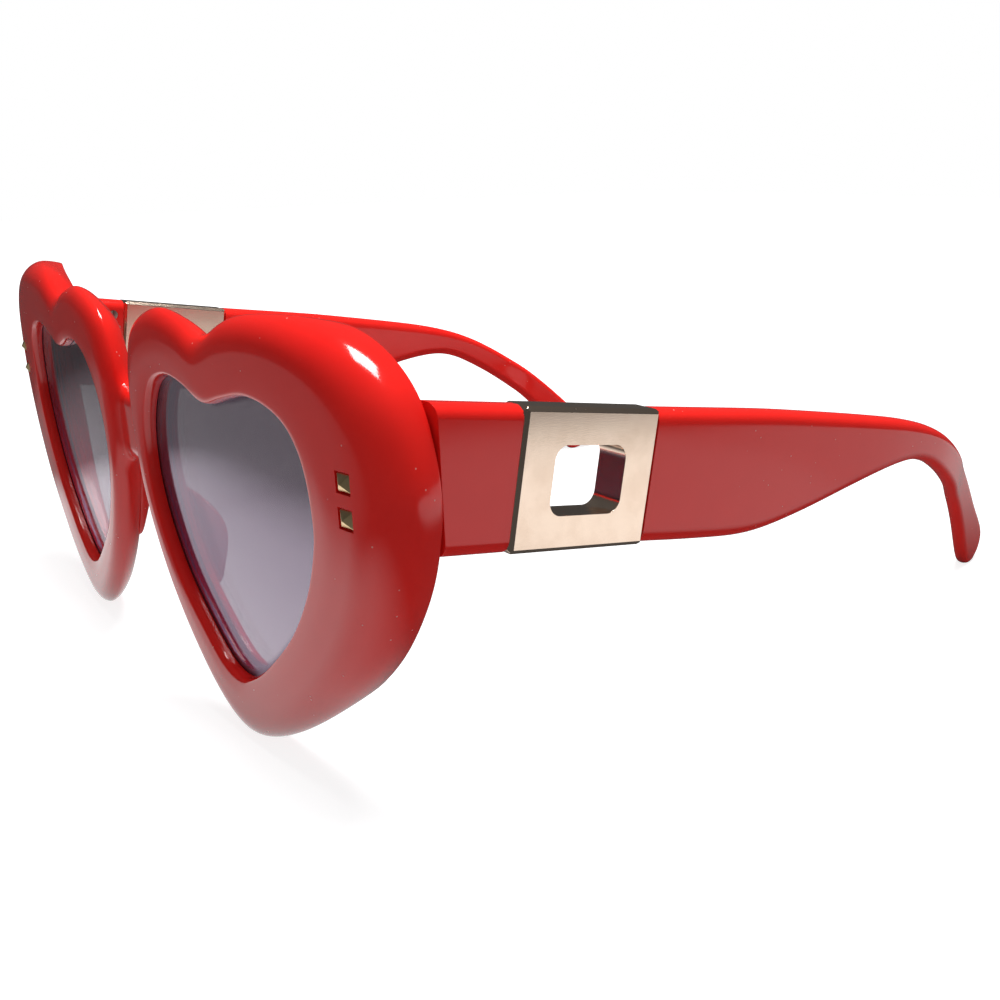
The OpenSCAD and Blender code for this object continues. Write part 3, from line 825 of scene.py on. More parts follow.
def section_ring(
    half_t: np.ndarray, half_h: np.ndarray, r: np.ndarray, angles: Sequence[float], rests: Sequence[float]
) -> np.ndarray:
    """Rounded rectangles, one for each place.

    Args:
        half_t: Half of each one's thickness.
        half_h: Half of each one's height.
        r: The rounding of each one's corners.
        angles: The degrees at which a corner has points.
        rests: Where the straight sides have points of their own, as shares.

    Returns:
        The points across and up, as an array of places, points and two coordinates.
    """
    def corner(q: int, degrees: float) -> np.ndarray:
        """The points of corner q at an angle."""
        sx, sz = (1 if q % 4 in (0, 3) else -1), (1 if q % 4 < 2 else -1)
        turn = math.radians(degrees)
        return np.stack([sx * (half_t - r) + r * math.cos(turn), sz * (half_h - r) + r * math.sin(turn)], 1)

    columns = []
    for q in range(4):
        columns += [corner(q, q * 90 + a) for a in angles]
        start, end = corner(q, q * 90 + 90), corner(q + 1, q * 90 + 90)
        columns += [start + (end - start) * s for s in rests]
    return np.stack(columns, 1)


# The object


@dataclass
class HeartFront:
    """The front's own sizes and curves, in its own frame: X across, Y deep, Z up from the heart tips."""

    heart_w: float = 66.8
    heart_h: float = 62.7
    nose_gap: float = 9.0
    nose_band: float = 5.1
    temple_band: float = 15.1
    chin_band: float = 9.4
    brow_band: float = 10.6
    wrap_r: float = 560.0
    lean: float = 1.5
    crown: float = 1.1
    shoulder: float = 1.1
    rear_depth: float = 7.2
    nose_depth: float = 4.5
    belly_depth: float = 3.6
    nose_belly: float = 1.1
    rear_round: float = 0.8
    nose_bevel: float = 3.7
    lip_round: float = 0.7
    lens_depth: float = 1.0
    lens_t: float = 2.0
    lens_seat: float = 0.8
    clear: float = 0.04
    hinge_in: float = 7.25
    hinge_back: float = 5.0
    hinge_up: float = 43.8
    half_leaf: float = 0.5
    shoulder_share: float = 0.4
    thicken_share: float = 0.76
    thicken_power: float = 3.5
    lip_share: float = 0.8
    steps: int = 3
    rim_shares: Shares = (
        (0.389, 0.933), (0.501, 0.980), (0.614, 0.998), (0.749, 0.995), (0.870, 0.957), (0.960, 0.872),
        (0.999, 0.737), (0.997, 0.620), (0.957, 0.474), (0.861, 0.306), (0.714, 0.156), (0.560, 0.046),
        (0.427, 0.000), (0.314, 0.046), (0.199, 0.156), (0.106, 0.290), (0.043, 0.432), (0.010, 0.558),
        (0.000, 0.686), (0.007, 0.815), (0.055, 0.920), (0.184, 0.972), (0.301, 0.960),
    )
    opening_shares: Shares = (
        (0.466, 0.937), (0.577, 0.967), (0.706, 0.998), (0.828, 0.986), (0.923, 0.937), (0.979, 0.841),
        (1.000, 0.698), (0.989, 0.588), (0.936, 0.438), (0.835, 0.274), (0.691, 0.122), (0.588, 0.040),
        (0.502, 0.000), (0.399, 0.023), (0.275, 0.124), (0.146, 0.258), (0.052, 0.419), (0.004, 0.581),
        (0.006, 0.733), (0.047, 0.857), (0.120, 0.951), (0.230, 0.991), (0.348, 0.977),
    )

    def __post_init__(self) -> None:
        """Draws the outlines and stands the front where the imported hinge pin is."""
        self.heart_x = self.nose_gap / 2
        self.front_half = self.heart_x + self.heart_w
        self.hinge_x = self.front_half - self.hinge_in
        joint = next(j for j in frame["joints"] if j["child"] == Side.LEFT.temple)
        self.pin = np.array(joint["pos_m"], float) / MM
        self.slope = math.degrees(math.atan2(joint["axis"][1], joint["axis"][2]))
        pin_y = self.wrap(self.hinge_x) + self.rear_depth + self.hinge_back
        pin_here = np.array([self.hinge_x, pin_y, self.hinge_up])
        self.shift = self.pin - tilt(self.lean) @ pin_here
        self.set_steps(self.steps)

    def set_steps(self, steps: int) -> None:
        """Draws the outlines with a number of steps between two neighbouring points."""
        opening_w = self.heart_w - self.nose_band - self.temple_band
        opening_h = self.heart_h - self.chin_band - self.brow_band
        rim = np.array(self.rim_shares) * [self.heart_w, self.heart_h] + [self.heart_x, 0]
        opening = np.array(self.opening_shares) * [opening_w, opening_h]
        opening += [self.heart_x + self.nose_band, self.chin_band]
        self.rim = smooth_curve(rim, steps, True)
        self.opening = smooth_curve(opening, steps, True)
        across = self.rim - self.opening
        self.band = np.linalg.norm(across, axis=1)
        self.outward = across / self.band[:, None]

    def wrap(self, x: Any) -> Any:
        """How deep the front's wrap lies at a distance from its middle."""
        return self.wrap_r - np.sqrt(self.wrap_r ** 2 - np.asarray(x, float) ** 2)

    def between(self, nose: float, temple: float, x: Any) -> Any:
        """A size at a distance from the middle, between its values at the nose and at the temple."""
        share = np.clip((np.asarray(x, float) - self.heart_x) / (self.thicken_share * self.heart_w), 0, 1)
        return nose + (temple - nose) * share ** self.thicken_power

    def spot(self, out: Any, deep: Any, rows: Any = slice(None)) -> np.ndarray:
        """Points of a rim at every station.

        Args:
            out: How far out from the opening's edge each one is.
            deep: How deep behind the lip each one is.
            rows: The stations.

        Returns:
            The points in the front's own frame.
        """
        flat = self.opening[rows] + np.asarray(out)[..., None] * self.outward[rows]
        return np.stack([flat[:, 0], self.wrap(flat[:, 0]) + deep, flat[:, 1]], 1)

    def rear(self, out: Any, lift: float = 0.0, rows: Any = slice(None)) -> np.ndarray:
        """Points of a rim's rear face at every station, lifted off it by a distance."""
        x = (self.opening[rows] + np.asarray(out)[..., None] * self.outward[rows])[:, 0]
        return self.spot(out, self.between(self.nose_depth, self.rear_depth, x) + lift, rows)

    def bevel(self) -> np.ndarray:
        """The width of the rear edge's bevel at every station."""
        wide = self.between(self.nose_bevel, self.rear_round, self.rim[:, 0])
        return np.minimum(wide, self.band - self.lens_seat - self.clear - self.lip_round / 2)

    def edge(self, share: tuple[float, float], lift: float = 0.0, rows: Any = slice(None)) -> np.ndarray:
        """Points of the rear edge at every station, from the belly to the rear face."""
        x = self.rim[rows, 0]
        belly = self.between(self.nose_belly, self.belly_depth, x)
        rear = self.between(self.nose_depth, self.rear_depth, x)
        out = self.band[rows] - self.bevel()[rows] * share[0]
        return self.spot(out, belly + (rear - belly) * share[1] + lift, rows)

    def placed(self, points: np.ndarray, side: Side = Side.LEFT) -> np.ndarray:
        """Points of the front's own frame where they stand on the floor, on one side of the face."""
        stood = points @ tilt(self.lean).T + self.shift
        return stood * [side.value, 1, 1]

    def leaf_middle(self, leaf_l: float, proud: float) -> np.ndarray:
        """The middle of the hinge leaf on the rear face, which sits where the knuckles' arms end."""
        x = self.hinge_x + proud - leaf_l / 2
        rise = (self.hinge_back + self.half_leaf - proud) * math.sin(math.radians(self.slope + self.lean))
        return np.array([x, self.wrap(x) + self.rear_depth, self.hinge_up + rise])


# The rear edge's rounding, as shares of the bevel's width and of the depth from the belly to the rear face
REAR_SHARES = ((0.2, 0.38), (0.56, 0.72), (0.84, 0.93), (1.0, 1.0))


@dataclass
class FrontFrame:
    """The moulded front: two heart rims and the bridge, with recesses for the studs and the hinge leaves."""

    hearts: HeartFront
    bridge_up: float = 40.2
    bridge_h: float = 11.6
    bridge_back: float = 0.5
    bridge_t: float = 4.4
    flare_share: float = 0.1
    root_share: float = 0.7
    thin_share: float = 0.2
    round_share: float = 0.9
    bridge_steps: int = 13
    corner_angles: tuple[float, ...] = (0, 30, 60, 90)
    side_rests: tuple[float, ...] = (0.12, 0.5, 0.88)
    fillet: float = 2.6
    seam_reach: float = 1.6
    seam_fade: float = 0.7
    seam_pull: float = 0.6
    seam_passes: int = 90
    seam_chunk: int = 2000
    lip_rise: float = 0.55
    lip_run: float = 0.5
    lip_stops: tuple[float, ...] = (0, 0.2, 0.4, 0.6, 0.8, 1)
    crest_run: float = 0.33
    crest_rise: float = 0.4
    crest_ease: float = 0.4
    crest_stops: tuple[float, ...] = (0.3, 0.65, 1)
    turn_stops: tuple[float, ...] = (0.4, 0.75, 1)
    turn_angles: tuple[int, ...] = (15, 30, 45, 60, 75, 90)
    rear_stops: tuple[float, ...] = (0.92, 0.5, 0.12)
    hem: float = 0.12
    lip_hem: float = 0.08
    stud_w: float = 2.2
    stud_margin: float = 0.25
    stud_seat: float = 0.45
    stud_in: float = 7.3
    stud_up: float = 43.1
    stud_pitch: float = 4.4
    stud_turn: float = 10.0
    leaf_l: float = 9.0
    leaf_h: float = 8.32
    leaf_t: float = 1.0
    leaf_proud: float = 0.15
    leaf_clear: float = 0.03
    over: float = 3.0
    crisp: float = 38

    def rings(self) -> np.ndarray:
        """The left rim's rings, in the front's own frame."""
        h = self.hearts
        w, rim_x, zero = h.band, h.rim[:, 0], np.zeros(len(h.band))
        s = h.shoulder_share * w
        belly = h.between(h.nose_belly, h.belly_depth, rim_x)
        lip_top = zero - h.crown * h.lip_share
        tall = h.lip_round - lip_top
        crest = zero - (h.crown + h.shoulder * h.lip_share) / (1 + h.lip_share)
        crest_out = (h.lip_round + w - s) / 2
        start, lip = (zero, zero + h.lip_round), (zero + h.lip_round, lip_top)
        top, turn = (crest_out, crest), (w - s, zero - h.shoulder)
        reach, gap = crest_out - h.lip_round, turn[0] - crest_out
        up = (zero, h.lip_round - self.lip_rise * tall)
        level = (lip[0] - self.lip_run * h.lip_round, lip_top)
        climb = (
            lip[0] + reach * self.crest_run, lip_top * (1 - self.crest_rise) + crest * self.crest_rise
        )
        ease = (crest_out - reach * self.crest_ease, crest)
        leave, land = (crest_out + gap * self.crest_ease, crest), (turn[0] - gap * self.crest_ease, turn[1])
        columns = [self.arch(start, up, level, lip, t) for t in self.lip_stops]
        columns += [self.arch(lip, climb, ease, top, t) for t in self.crest_stops]
        columns += [self.arch(top, leave, land, turn, t) for t in self.turn_stops]
        for a in self.turn_angles:
            bend = math.radians(a)
            columns.append((w - s + s * math.sin(bend), belly - (belly + h.shoulder) * math.cos(bend)))
        rings = [h.spot(out, deep) for out, deep in columns]
        rings += [h.edge(share) for share in REAR_SHARES]
        half_lip = h.lip_round / 2
        span = w - h.bevel() - half_lip
        rings += [h.rear(half_lip + span * share) for share in self.rear_stops]
        far = h.lens_depth + h.lens_t + h.clear
        near = h.lens_depth - h.clear
        rear = h.between(h.nose_depth, h.rear_depth, h.opening[:, 0])
        low = np.maximum(rear - half_lip, far + self.hem)
        rings += [h.rear(zero + half_lip), h.spot(zero, low), h.spot(zero, (low + far) / 2)]
        seat, hem = h.lens_seat + h.clear, self.hem
        rings += [
            h.spot(zero + out, zero + deep) for out, deep in (
                (0, far), (hem, far), (seat, far), (seat, near), (hem, near), (0, near),
                (0, near - self.lip_hem),
            )
        ]
        cage = np.stack(rings, 1)
        # The smoothed surface falls a little inside its cage, so the cage is pushed out by as much
        return cage - (np.roll(cage, 1, 0) - 2 * cage + np.roll(cage, -1, 0)) / 6

    @staticmethod
    def arch(p0: Any, p1: Any, p2: Any, p3: Any, t: float) -> tuple[np.ndarray, np.ndarray]:
        """A point of a curve with two ends and two handles, at a share of its way."""
        k = ((1 - t) ** 3, 3 * (1 - t) ** 2 * t, 3 * (1 - t) * t * t, t ** 3)
        return tuple(sum(c * np.asarray(p[i]) for c, p in zip(k, (p0, p1, p2, p3))) for i in (0, 1))

    def bridge(self) -> np.ndarray:
        """The bridge's rings, from one rim into the other."""
        h = self.hearts
        s = np.linspace(-1, 1, self.bridge_steps)
        x = s * (h.heart_x + self.root_share * h.nose_band)
        half_h = self.bridge_h / 2 + self.flare_share * self.bridge_h * s * s
        half_t = (1 - self.thin_share * s * s) * self.bridge_t / 2
        r = self.round_share * half_t
        ring = section_ring(half_t, half_h, r, self.corner_angles, self.side_rests)
        depth = (h.wrap(x) + self.bridge_back + self.bridge_t / 2)[:, None] - ring[:, :, 0]
        return np.stack([np.repeat(x[:, None], ring.shape[1], 1), depth, self.bridge_up + ring[:, :, 1]], 2)

    def recesses(self, side: Side) -> list[Solid]:
        """What is cut out of the front on one side: the stud recesses and the hinge leaf's pocket."""
        h = self.hearts
        parts = []
        half = self.stud_w / 2 + self.stud_margin
        stud_x = h.front_half - self.stud_in
        stud_y = h.wrap(stud_x) - h.shoulder * h.lip_share
        for row in (-1, 1):
            points, faces = block((-half, -half, -self.stud_seat), (half, half, self.over))
            centre = [stud_x, stud_y, self.stud_up + row * self.stud_pitch / 2]
            parts.append((h.placed(points @ (swing(self.stud_turn) @ tilt(90)).T + centre, side), faces))
        half_l, half_h = self.leaf_l / 2 + self.leaf_clear, self.leaf_h / 2 + self.leaf_clear
        floor = self.leaf_proud - self.leaf_t - self.leaf_clear
        points, faces = block((-half_l, floor, -half_h), (half_l, self.over, half_h))
        middle = h.leaf_middle(self.leaf_l, self.leaf_proud)
        lean = math.degrees(math.asin(middle[0] / h.wrap_r))
        parts.append((h.placed(points @ swing(lean).T + middle, side), faces))
        return parts

    def soften(self, shape: Shape, known: np.ndarray) -> None:
        """Rounds the seams where the bridge runs into the rims.

        Args:
            shape: The joined front.
            known: The points of the rims and the bridge before they were joined, in metres.
        """
        mesh = shape.object.data
        shape.edit(
            lambda cage: bmesh.ops.triangulate(cage, faces=[f for f in cage.faces if len(f.verts) > 4])
        )
        count = len(mesh.vertices)
        points = np.zeros(count * 3)
        mesh.vertices.foreach_get("co", points)
        points = points.reshape(-1, 3)
        old = {tuple(p) for p in np.round(known, 7)}
        fresh = np.array([tuple(p) not in old for p in np.round(points, 7)])
        reach = self.seam_reach * (self.hearts.heart_x + self.hearts.nose_band) * MM
        fresh &= np.abs(points[:, 0]) < reach
        near = np.flatnonzero(np.abs(points[:, 0]) < reach + self.fillet * MM)
        seam = points[fresh]
        weight = np.zeros(count)
        for chunk in np.array_split(near, max(1, len(near) // self.seam_chunk)):
            gap = np.linalg.norm(points[chunk, None] - seam[None], axis=2).min(1) / (self.fillet * MM)
            weight[chunk] = np.clip(1 - gap, 0, 1) ** self.seam_fade
        ends = np.zeros(len(mesh.edges) * 2, int)
        mesh.edges.foreach_get("vertices", ends)
        ends = ends.reshape(-1, 2)
        ends = ends[(weight[ends] > 0).any(1)]
        links = np.bincount(ends.ravel(), minlength=count).clip(1)
        for _ in range(self.seam_passes):
            total = np.zeros_like(points)
            np.add.at(total, ends[:, 0], points[ends[:, 1]])
            np.add.at(total, ends[:, 1], points[ends[:, 0]])
            points += weight[:, None] * self.seam_pull * (total / links[:, None] - points)
        mesh.vertices.foreach_set("co", points.ravel())
        mesh.update()
        LOG.info("bridge seams: %d points on them, %d softened", fresh.sum(), (weight > 0).sum())

    def build(self, finishes: Finishes) -> None:
        """Builds the front and dresses it."""
        h = self.hearts
        rings = self.rings()
        levels = 2
        left, right = (Shape.skin("rim", h.placed(rings, side), True).rounded(levels) for side in Side)
        left.edit(lambda cage: cage.from_mesh(right.object.data))
        bpy.data.objects.remove(right.object)
        left.object.name = "front_shell"
        bridge = Shape.skin("bridge", h.placed(self.bridge()), False).rounded(levels)
        known = np.array([v.co for o in (left, bridge) for v in o.object.data.vertices], float)
        left.cut(bridge, Cut.JOIN)
        self.soften(left, known)
        left.cut(gathered("recesses", self.recesses(Side.LEFT) + self.recesses(Side.RIGHT)), Cut.REMOVE)
        left.shaded(self.crisp).dress(finishes, Slot.FRAME, "front", "front_frame")


@dataclass
class Lens:
    """A lens: one closed sheet with the front's wrap, drawn from its outline inwards."""

    hearts: HeartFront
    side: Side
    rows: int = 22
    steps: int = 12
    even_share: float = 0.65
    crisp: float = 40

    def rule(self) -> Rule:
        """The geometry tree that fills the outline with a wrapped sheet."""
        kinds = {"Outline": "Geometry", "Points": "Int", "Rows": "Int"}
        kinds |= dict.fromkeys(("Radius", "Depth", "Thickness"), "Float")
        graph = Rule("wrapped_sheet", kinds)
        points, rows, radius, depth, thickness = (
            Value(graph, graph.given[name]) for name in ("Points", "Rows", "Radius", "Depth", "Thickness")
        )
        all_rows = rows * 2
        grid = graph.node("GeometryNodeMeshGrid", {}, {"Vertices X": points + 1, "Vertices Y": all_rows})
        index = graph.value("GeometryNodeInputIndex", {}, {})
        column = (index / all_rows).floor()
        row = index - column * all_rows
        behind = (row - rows + 1).most(0.0).least(1.0)
        front_share = row / (rows - 1)
        rear_share = (all_rows - 1 - row) / (rows - 1)
        share = front_share * (1 - behind) + rear_share * behind
        share = share.root() * (1 - self.even_share) + share * self.even_share
        place = graph.node("GeometryNodeInputPosition").outputs[0]
        outline, vector = graph.given["Outline"], {"data_type": "FLOAT_VECTOR"}
        rim = graph.node(
            "GeometryNodeSampleIndex", vector,
            {"Geometry": outline, "Value": place, "Index": column.modulo(points)},
        )
        middle = graph.node(
            "GeometryNodeAttributeStatistic", vector, {"Geometry": outline, "Attribute": place}
        )
        rim_x, _, rim_z = graph.split(rim.outputs[0])
        middle_x, _, middle_z = graph.split(middle.outputs["Mean"])
        x = middle_x + (rim_x - middle_x) * share
        z = middle_z + (rim_z - middle_z) * share
        wrap = radius - (radius * radius - x * x).root()
        spot = graph.join(x, wrap + depth + behind * thickness, z)
        moved = graph.node("GeometryNodeSetPosition", {}, {"Geometry": grid.outputs[0], "Position": spot})
        stored = graph.node(
            "GeometryNodeStoreNamedAttribute", {"data_type": "FLOAT", "domain": "POINT"},
            {"Geometry": moved.outputs[0], "Name": EDGE_SHARE, "Value": share},
        )
        sheet = {"Geometry": stored.outputs[0], "Distance": SEAM_GAP}
        graph.end(graph.node("GeometryNodeMergeByDistance", {}, sheet).outputs[0])
        return graph

    def build(self, finishes: Finishes) -> None:
        """Builds the lens and dresses it."""
        h = self.hearts
        h.set_steps(self.steps)
        edge = (h.opening + h.lens_seat * h.outward) * [self.side.value, 1]
        h.set_steps(h.steps)
        outline = np.stack([edge[:, 0], np.zeros(len(edge)), edge[:, 1]], 1)
        made = self.rule().run(
            Shape(self.side.node("lens_sheet_{}"), outline, []),
            {"Points": len(outline), "Rows": self.rows, "Radius": h.wrap_r * MM, "Depth": h.lens_depth * MM,
             "Thickness": h.lens_t * MM, "Finish": finishes.of(Slot.LENS)},
        )

        def stand(cage: bmesh.types.BMesh) -> None:
            """Stands the sheet in the leaning front."""
            turn = Matrix(tilt(h.lean).tolist())
            for point in cage.verts:
                point.co = turn @ point.co + Vector(h.shift * MM)

        made.edit(stand).turned_out().shaded(self.crisp)
        made.dress(finishes, Slot.LENS, "front", self.side.node("lens_{}"))


@dataclass
class NosePads:
    """The bonded nose pads: ridges on the rear faces that lean over the openings."""

    hearts: HeartFront
    rise: float = 3.0
    splay: float = 4.8
    start_share: float = 0.635
    end_share: float = 0.725
    swell_share: float = 0.6
    lean_power: float = 1.35
    end_rise: float = 0.12
    sunk: float = 0.05
    clear: float = 0.03
    crisp: float = 60
    pad_shares: Shares = (
        (0.12, 0.3), (0.3, 0.62), (0.55, 0.88), (0.8, 1), (0.95, 0.97), (1, 0.8), (0.9, 0.5), (0.8, 0.2)
    )

    def rings(self) -> np.ndarray:
        """The left pad's rings, in the front's own frame."""
        h = self.hearts
        count = len(h.band)
        first, last = round(self.start_share * count), round(self.end_share * count)
        rows = np.arange(first, last + 1)
        u = (rows - first) / (last - first)
        swell = np.maximum(np.sin(np.pi * u ** self.lean_power).clip(0) ** self.swell_share, self.end_rise)
        near = h.lip_round / 2
        far = (h.band - h.bevel() * REAR_SHARES[1][0])[rows]
        rings = [h.edge(share, -self.sunk, rows) for share in REAR_SHARES[:0:-1]]
        for across, up in self.pad_shares:
            flat = far + (near - far) * across - self.splay * swell * across
            spot = h.rear(flat, 0.0, rows)
            spot[:, 1] += self.clear + self.rise * swell * up
            rings.append(spot)
        rings.append(h.rear(np.full(len(rows), near), -self.sunk, rows))
        return np.stack(rings, 1)

    def build(self, finishes: Finishes) -> None:
        """Builds both pads and dresses them."""
        rings = self.rings()
        for side in Side:
            pad = Shape.skin(side.node("nose_pad_{}_soft"), self.hearts.placed(rings, side), False)
            pad.rounded(2).shaded(self.crisp).dress(finishes, Slot.FRAME, "front", side.node("nose_pad_{}"))


@dataclass
class Temple:
    """One temple: a short front end, the metal link, and the long rear part with the ear hook."""

    hearts: HeartFront
    side: Side
    temple_l: float = 140.0
    ear_drop: float = 19.0
    ear_bend: float = 10.0
    temple_h: float = 18.4
    temple_t: float = 4.5
    temple_round: float = 1.8
    inner_x: float = 1.75
    link_start: float = 7.0
    link_l: float = 23.0
    tongue_l: float = 4.4
    tongue_h: float = 3.2
    tongue_t: float = 1.4
    tongue_up: float = 6.1
    screw_head_d: float = 1.9
    head_sunk: float = 0.65
    clear: float = 0.04
    over: float = 1.0
    root_round: float = 0.22
    link_round: float = 0.1
    crisp: float = 38
    metal_crisp: float = 30
    ear_round_share: float = 0.9
    ear_steps: int = 3
    bend_steps: int = 6
    corner_angles: tuple[float, ...] = (0, 22.5, 45, 67.5, 90)
    side_rests: tuple[float, ...] = (0.1, 0.5, 0.9)
    ear_shares: tuple[tuple[float, ...], ...] = (
        (0, 0, 0, 1, 1), (0.105, 0.105, 0, 1.015, 1), (0.21, 0.205, -0.013, 1, 0.99),
        (0.315, 0.304, -0.08, 0.845, 0.97), (0.413, 0.399, -0.165, 0.645, 0.94),
        (0.503, 0.49, -0.236, 0.458, 0.88), (0.58, 0.556, -0.25, 0.334, 0.82),
        (0.643, 0.605, -0.202, 0.276, 0.77), (0.698, 0.648, -0.113, 0.241, 0.73),
        (0.748, 0.695, 0.001, 0.222, 0.7), (0.802, 0.746, 0.15, 0.205, 0.68),
        (0.861, 0.802, 0.35, 0.185, 0.67), (0.919, 0.858, 0.595, 0.219, 0.67),
        (0.969, 0.9, 0.809, 0.276, 0.66), (0.995, 0.927, 0.95, 0.295, 0.65),
        (0.998, 0.945, 1.04, 0.24, 0.63), (0.988, 0.961, 1.075, 0.12, 0.55),
    )
    bend_shares: Shares = (
        (0, 0), (0.13, -0.04), (0.27, -0.08), (0.45, -0.13), (0.54, -0.11), (0.63, -0.03), (0.69, 0.08),
        (0.75, 0.245), (0.79, 0.415), (0.865, 0.64), (0.93, 0.82), (1, 1),
    )

    def __post_init__(self) -> None:
        """Works out where the link ends and the middle of the temple's thickness."""
        self.link_end = self.link_start + self.link_l
        self.middle = self.inner_x + self.temple_t / 2

    def placed(self, points: np.ndarray) -> np.ndarray:
        """Points of the temple's own frame, where Y runs along the temple, as they stand on the floor."""
        stood = points @ tilt(-self.hearts.slope).T + self.hearts.pin
        return stood * [self.side.value, 1, 1]

    def ear_rings(self) -> np.ndarray:
        """The rings of the long rear part, in the temple's own frame."""
        link_end = self.link_end
        ear_l = self.temple_l - link_end
        rows = np.array([
            [link_end + a * ear_l, -c * self.ear_drop + d * self.temple_h / 2,
             link_end + b * ear_l, -c * self.ear_drop - d * self.temple_h / 2, e * self.temple_t]
            for a, b, c, d, e in self.ear_shares
        ])
        rows = smooth_curve(rows, self.ear_steps, False)
        bend = smooth_curve(np.array(self.bend_shares), self.bend_steps, False)
        top, low = rows[:, 0:2], rows[:, 2:4]
        middle, half_h = (top + low) / 2, np.linalg.norm(top - low, axis=1) / 2
        up = (top - low) / (2 * half_h[:, None])
        half_t = rows[:, 4] / 2
        r = np.minimum(self.temple_round, self.ear_round_share * np.minimum(half_t, half_h))
        ring = section_ring(half_t, half_h, r, self.corner_angles, self.side_rests)
        y = middle[:, None, 0] + ring[:, :, 1] * up[:, None, 0]
        z = middle[:, None, 1] + ring[:, :, 1] * up[:, None, 1]
        inward = self.ear_bend * np.interp((y - link_end) / ear_l, bend[:, 0], bend[:, 1])
        x = self.inner_x + self.temple_t - half_t[:, None] + ring[:, :, 0] - inward
        return np.stack([x, y + self.clear, z], 2)

    def slots(self) -> list[Solid]:
        """The tongues' slots and the screws' holes in the plastic behind the link."""
        parts = []
        half_t, half_h = self.tongue_t / 2 + self.clear, self.tongue_h / 2 + self.clear
        slot_end = self.link_end + self.tongue_l + self.clear
        for z in (-self.tongue_up, self.tongue_up):
            slot = block(
                (self.middle - half_t, self.link_end - self.over, z - half_h),
                (self.middle + half_t, slot_end, z + half_h),
            )
            points, faces = barrel(self.screw_head_d / 2 + self.clear, -self.over, self.head_sunk)
            points = points + [self.inner_x, self.link_end + self.tongue_l / 2, z]
            parts += [(self.placed(slot[0]), slot[1]), (self.placed(points), faces)]
        return parts

    def build(self, finishes: Finishes) -> None:
        """Builds the temple's pieces and dresses them."""
        side, body = self.side, self.side.temple

        def keep_end(cage: bmesh.types.BMesh) -> None:
            """Keeps the edge of the flat front end crisp."""
            crease = cage.edges.layers.float.get("crease_edge") or cage.edges.layers.float.new("crease_edge")
            wide = max((f for f in cage.faces if len(f.verts) > 4), key=lambda f: f.calc_area())
            for edge in wide.edges:
                edge[crease] = 1.0

        ear = Shape.skin(side.node("ear_piece_{}"), self.placed(self.ear_rings()), False)
        ear.edit(keep_end).rounded(2)
        ear.cut(gathered("slots", self.slots()), Cut.REMOVE).shaded(self.crisp)
        ear.dress(finishes, Slot.FRAME, body, side.node("temple_rear_{}"))
        for pattern, name, width, slot in (
            ("temple_front_{}", "temple_root_{}", self.root_round, Slot.FRAME),
            ("temple_link_{}", "window_link_{}", self.link_round, Slot.LINK),
        ):
            piece = Shape.copy_of(side.node(pattern), side.node(name))
            piece.bevelled(width).shaded(self.metal_crisp).levelled()
            piece.dress(finishes, slot, body, side.node(pattern))


@dataclass
class Fittings:
    """The small metal pieces: studs, hinge halves and screws, with softened edges."""

    stud_round: float = 0.06
    hinge_round: float = 0.08
    screw_round: float = 0.05
    crisp: float = 30
    segments: int = 2

    def __post_init__(self) -> None:
        """Builds the geometry tree that stands one small piece in several places."""
        graph = self.rule = Rule("repeated_piece", {"Places": "Geometry", "Piece": "Object"})
        places = graph.node("GeometryNodeMeshToPoints", {}, {"Mesh": graph.given["Places"]})
        piece = graph.node(
            "GeometryNodeObjectInfo", {"transform_space": "ORIGINAL"},
            {"Object": graph.given["Piece"], "As Instance": True},
        )
        settings = {"Points": places.outputs[0], "Instance": piece.outputs["Geometry"]}
        graph.end(graph.node("GeometryNodeInstanceOnPoints", {}, settings).outputs[0])

    def repeat(
        self, name: str, nodes: Sequence[str], width: float, slot: Slot, body: str, finishes: Finishes
    ) -> None:
        """Builds one set of like pieces and dresses it.

        Args:
            name: The set's name.
            nodes: The nodes that it replaces. Their pieces differ only in place.
            width: The rounding's width in millimetres.
            slot: The record's slot for its finish.
            body: The body that it moves with.
            finishes: The object's finishes.
        """
        copies = [Shape.copy_of(node, f"{node}_pattern") for node in nodes]
        middles = [middle for copy in copies for middle in copy.keep_first()]
        pattern = copies[0].bevelled(width, self.crisp, self.segments)
        made = Shape(name, np.array(middles), [])
        self.rule.run(made, {"Piece": pattern.object, "Finish": finishes.of(slot)})
        for copy in copies:
            bpy.data.objects.remove(copy.object)
        made.shaded(self.crisp).levelled().dress(finishes, slot, body, *nodes)

    def build(self, finishes: Finishes) -> None:
        """Builds every small piece and dresses it."""
        for side in Side:
            studs = [side.node("stud_{}_") + row for row in ("upper", "lower")]
            self.repeat(side.node("pyramid_studs_{}"), studs, self.stud_round, Slot.STUD, "front", finishes)
            for pattern, slot, body in (
                ("front_hinge_{}", Slot.HINGE, "front"), ("temple_hinge_{}", Slot.HINGE, side.temple),
                ("hinge_screw_{}", Slot.SCREW, "front"),
            ):
                node = side.node(pattern)
                piece = Shape.copy_of(node, f"{node}_fine")
                piece.bevelled(self.hinge_round, self.crisp, self.segments)
                piece.shaded(self.crisp).levelled().dress(finishes, slot, body, node)
            self.repeat(
                side.node("tongue_screws_{}"), [side.node("link_screws_{}")], self.screw_round, Slot.SCREW,
                side.temple, finishes,
            )


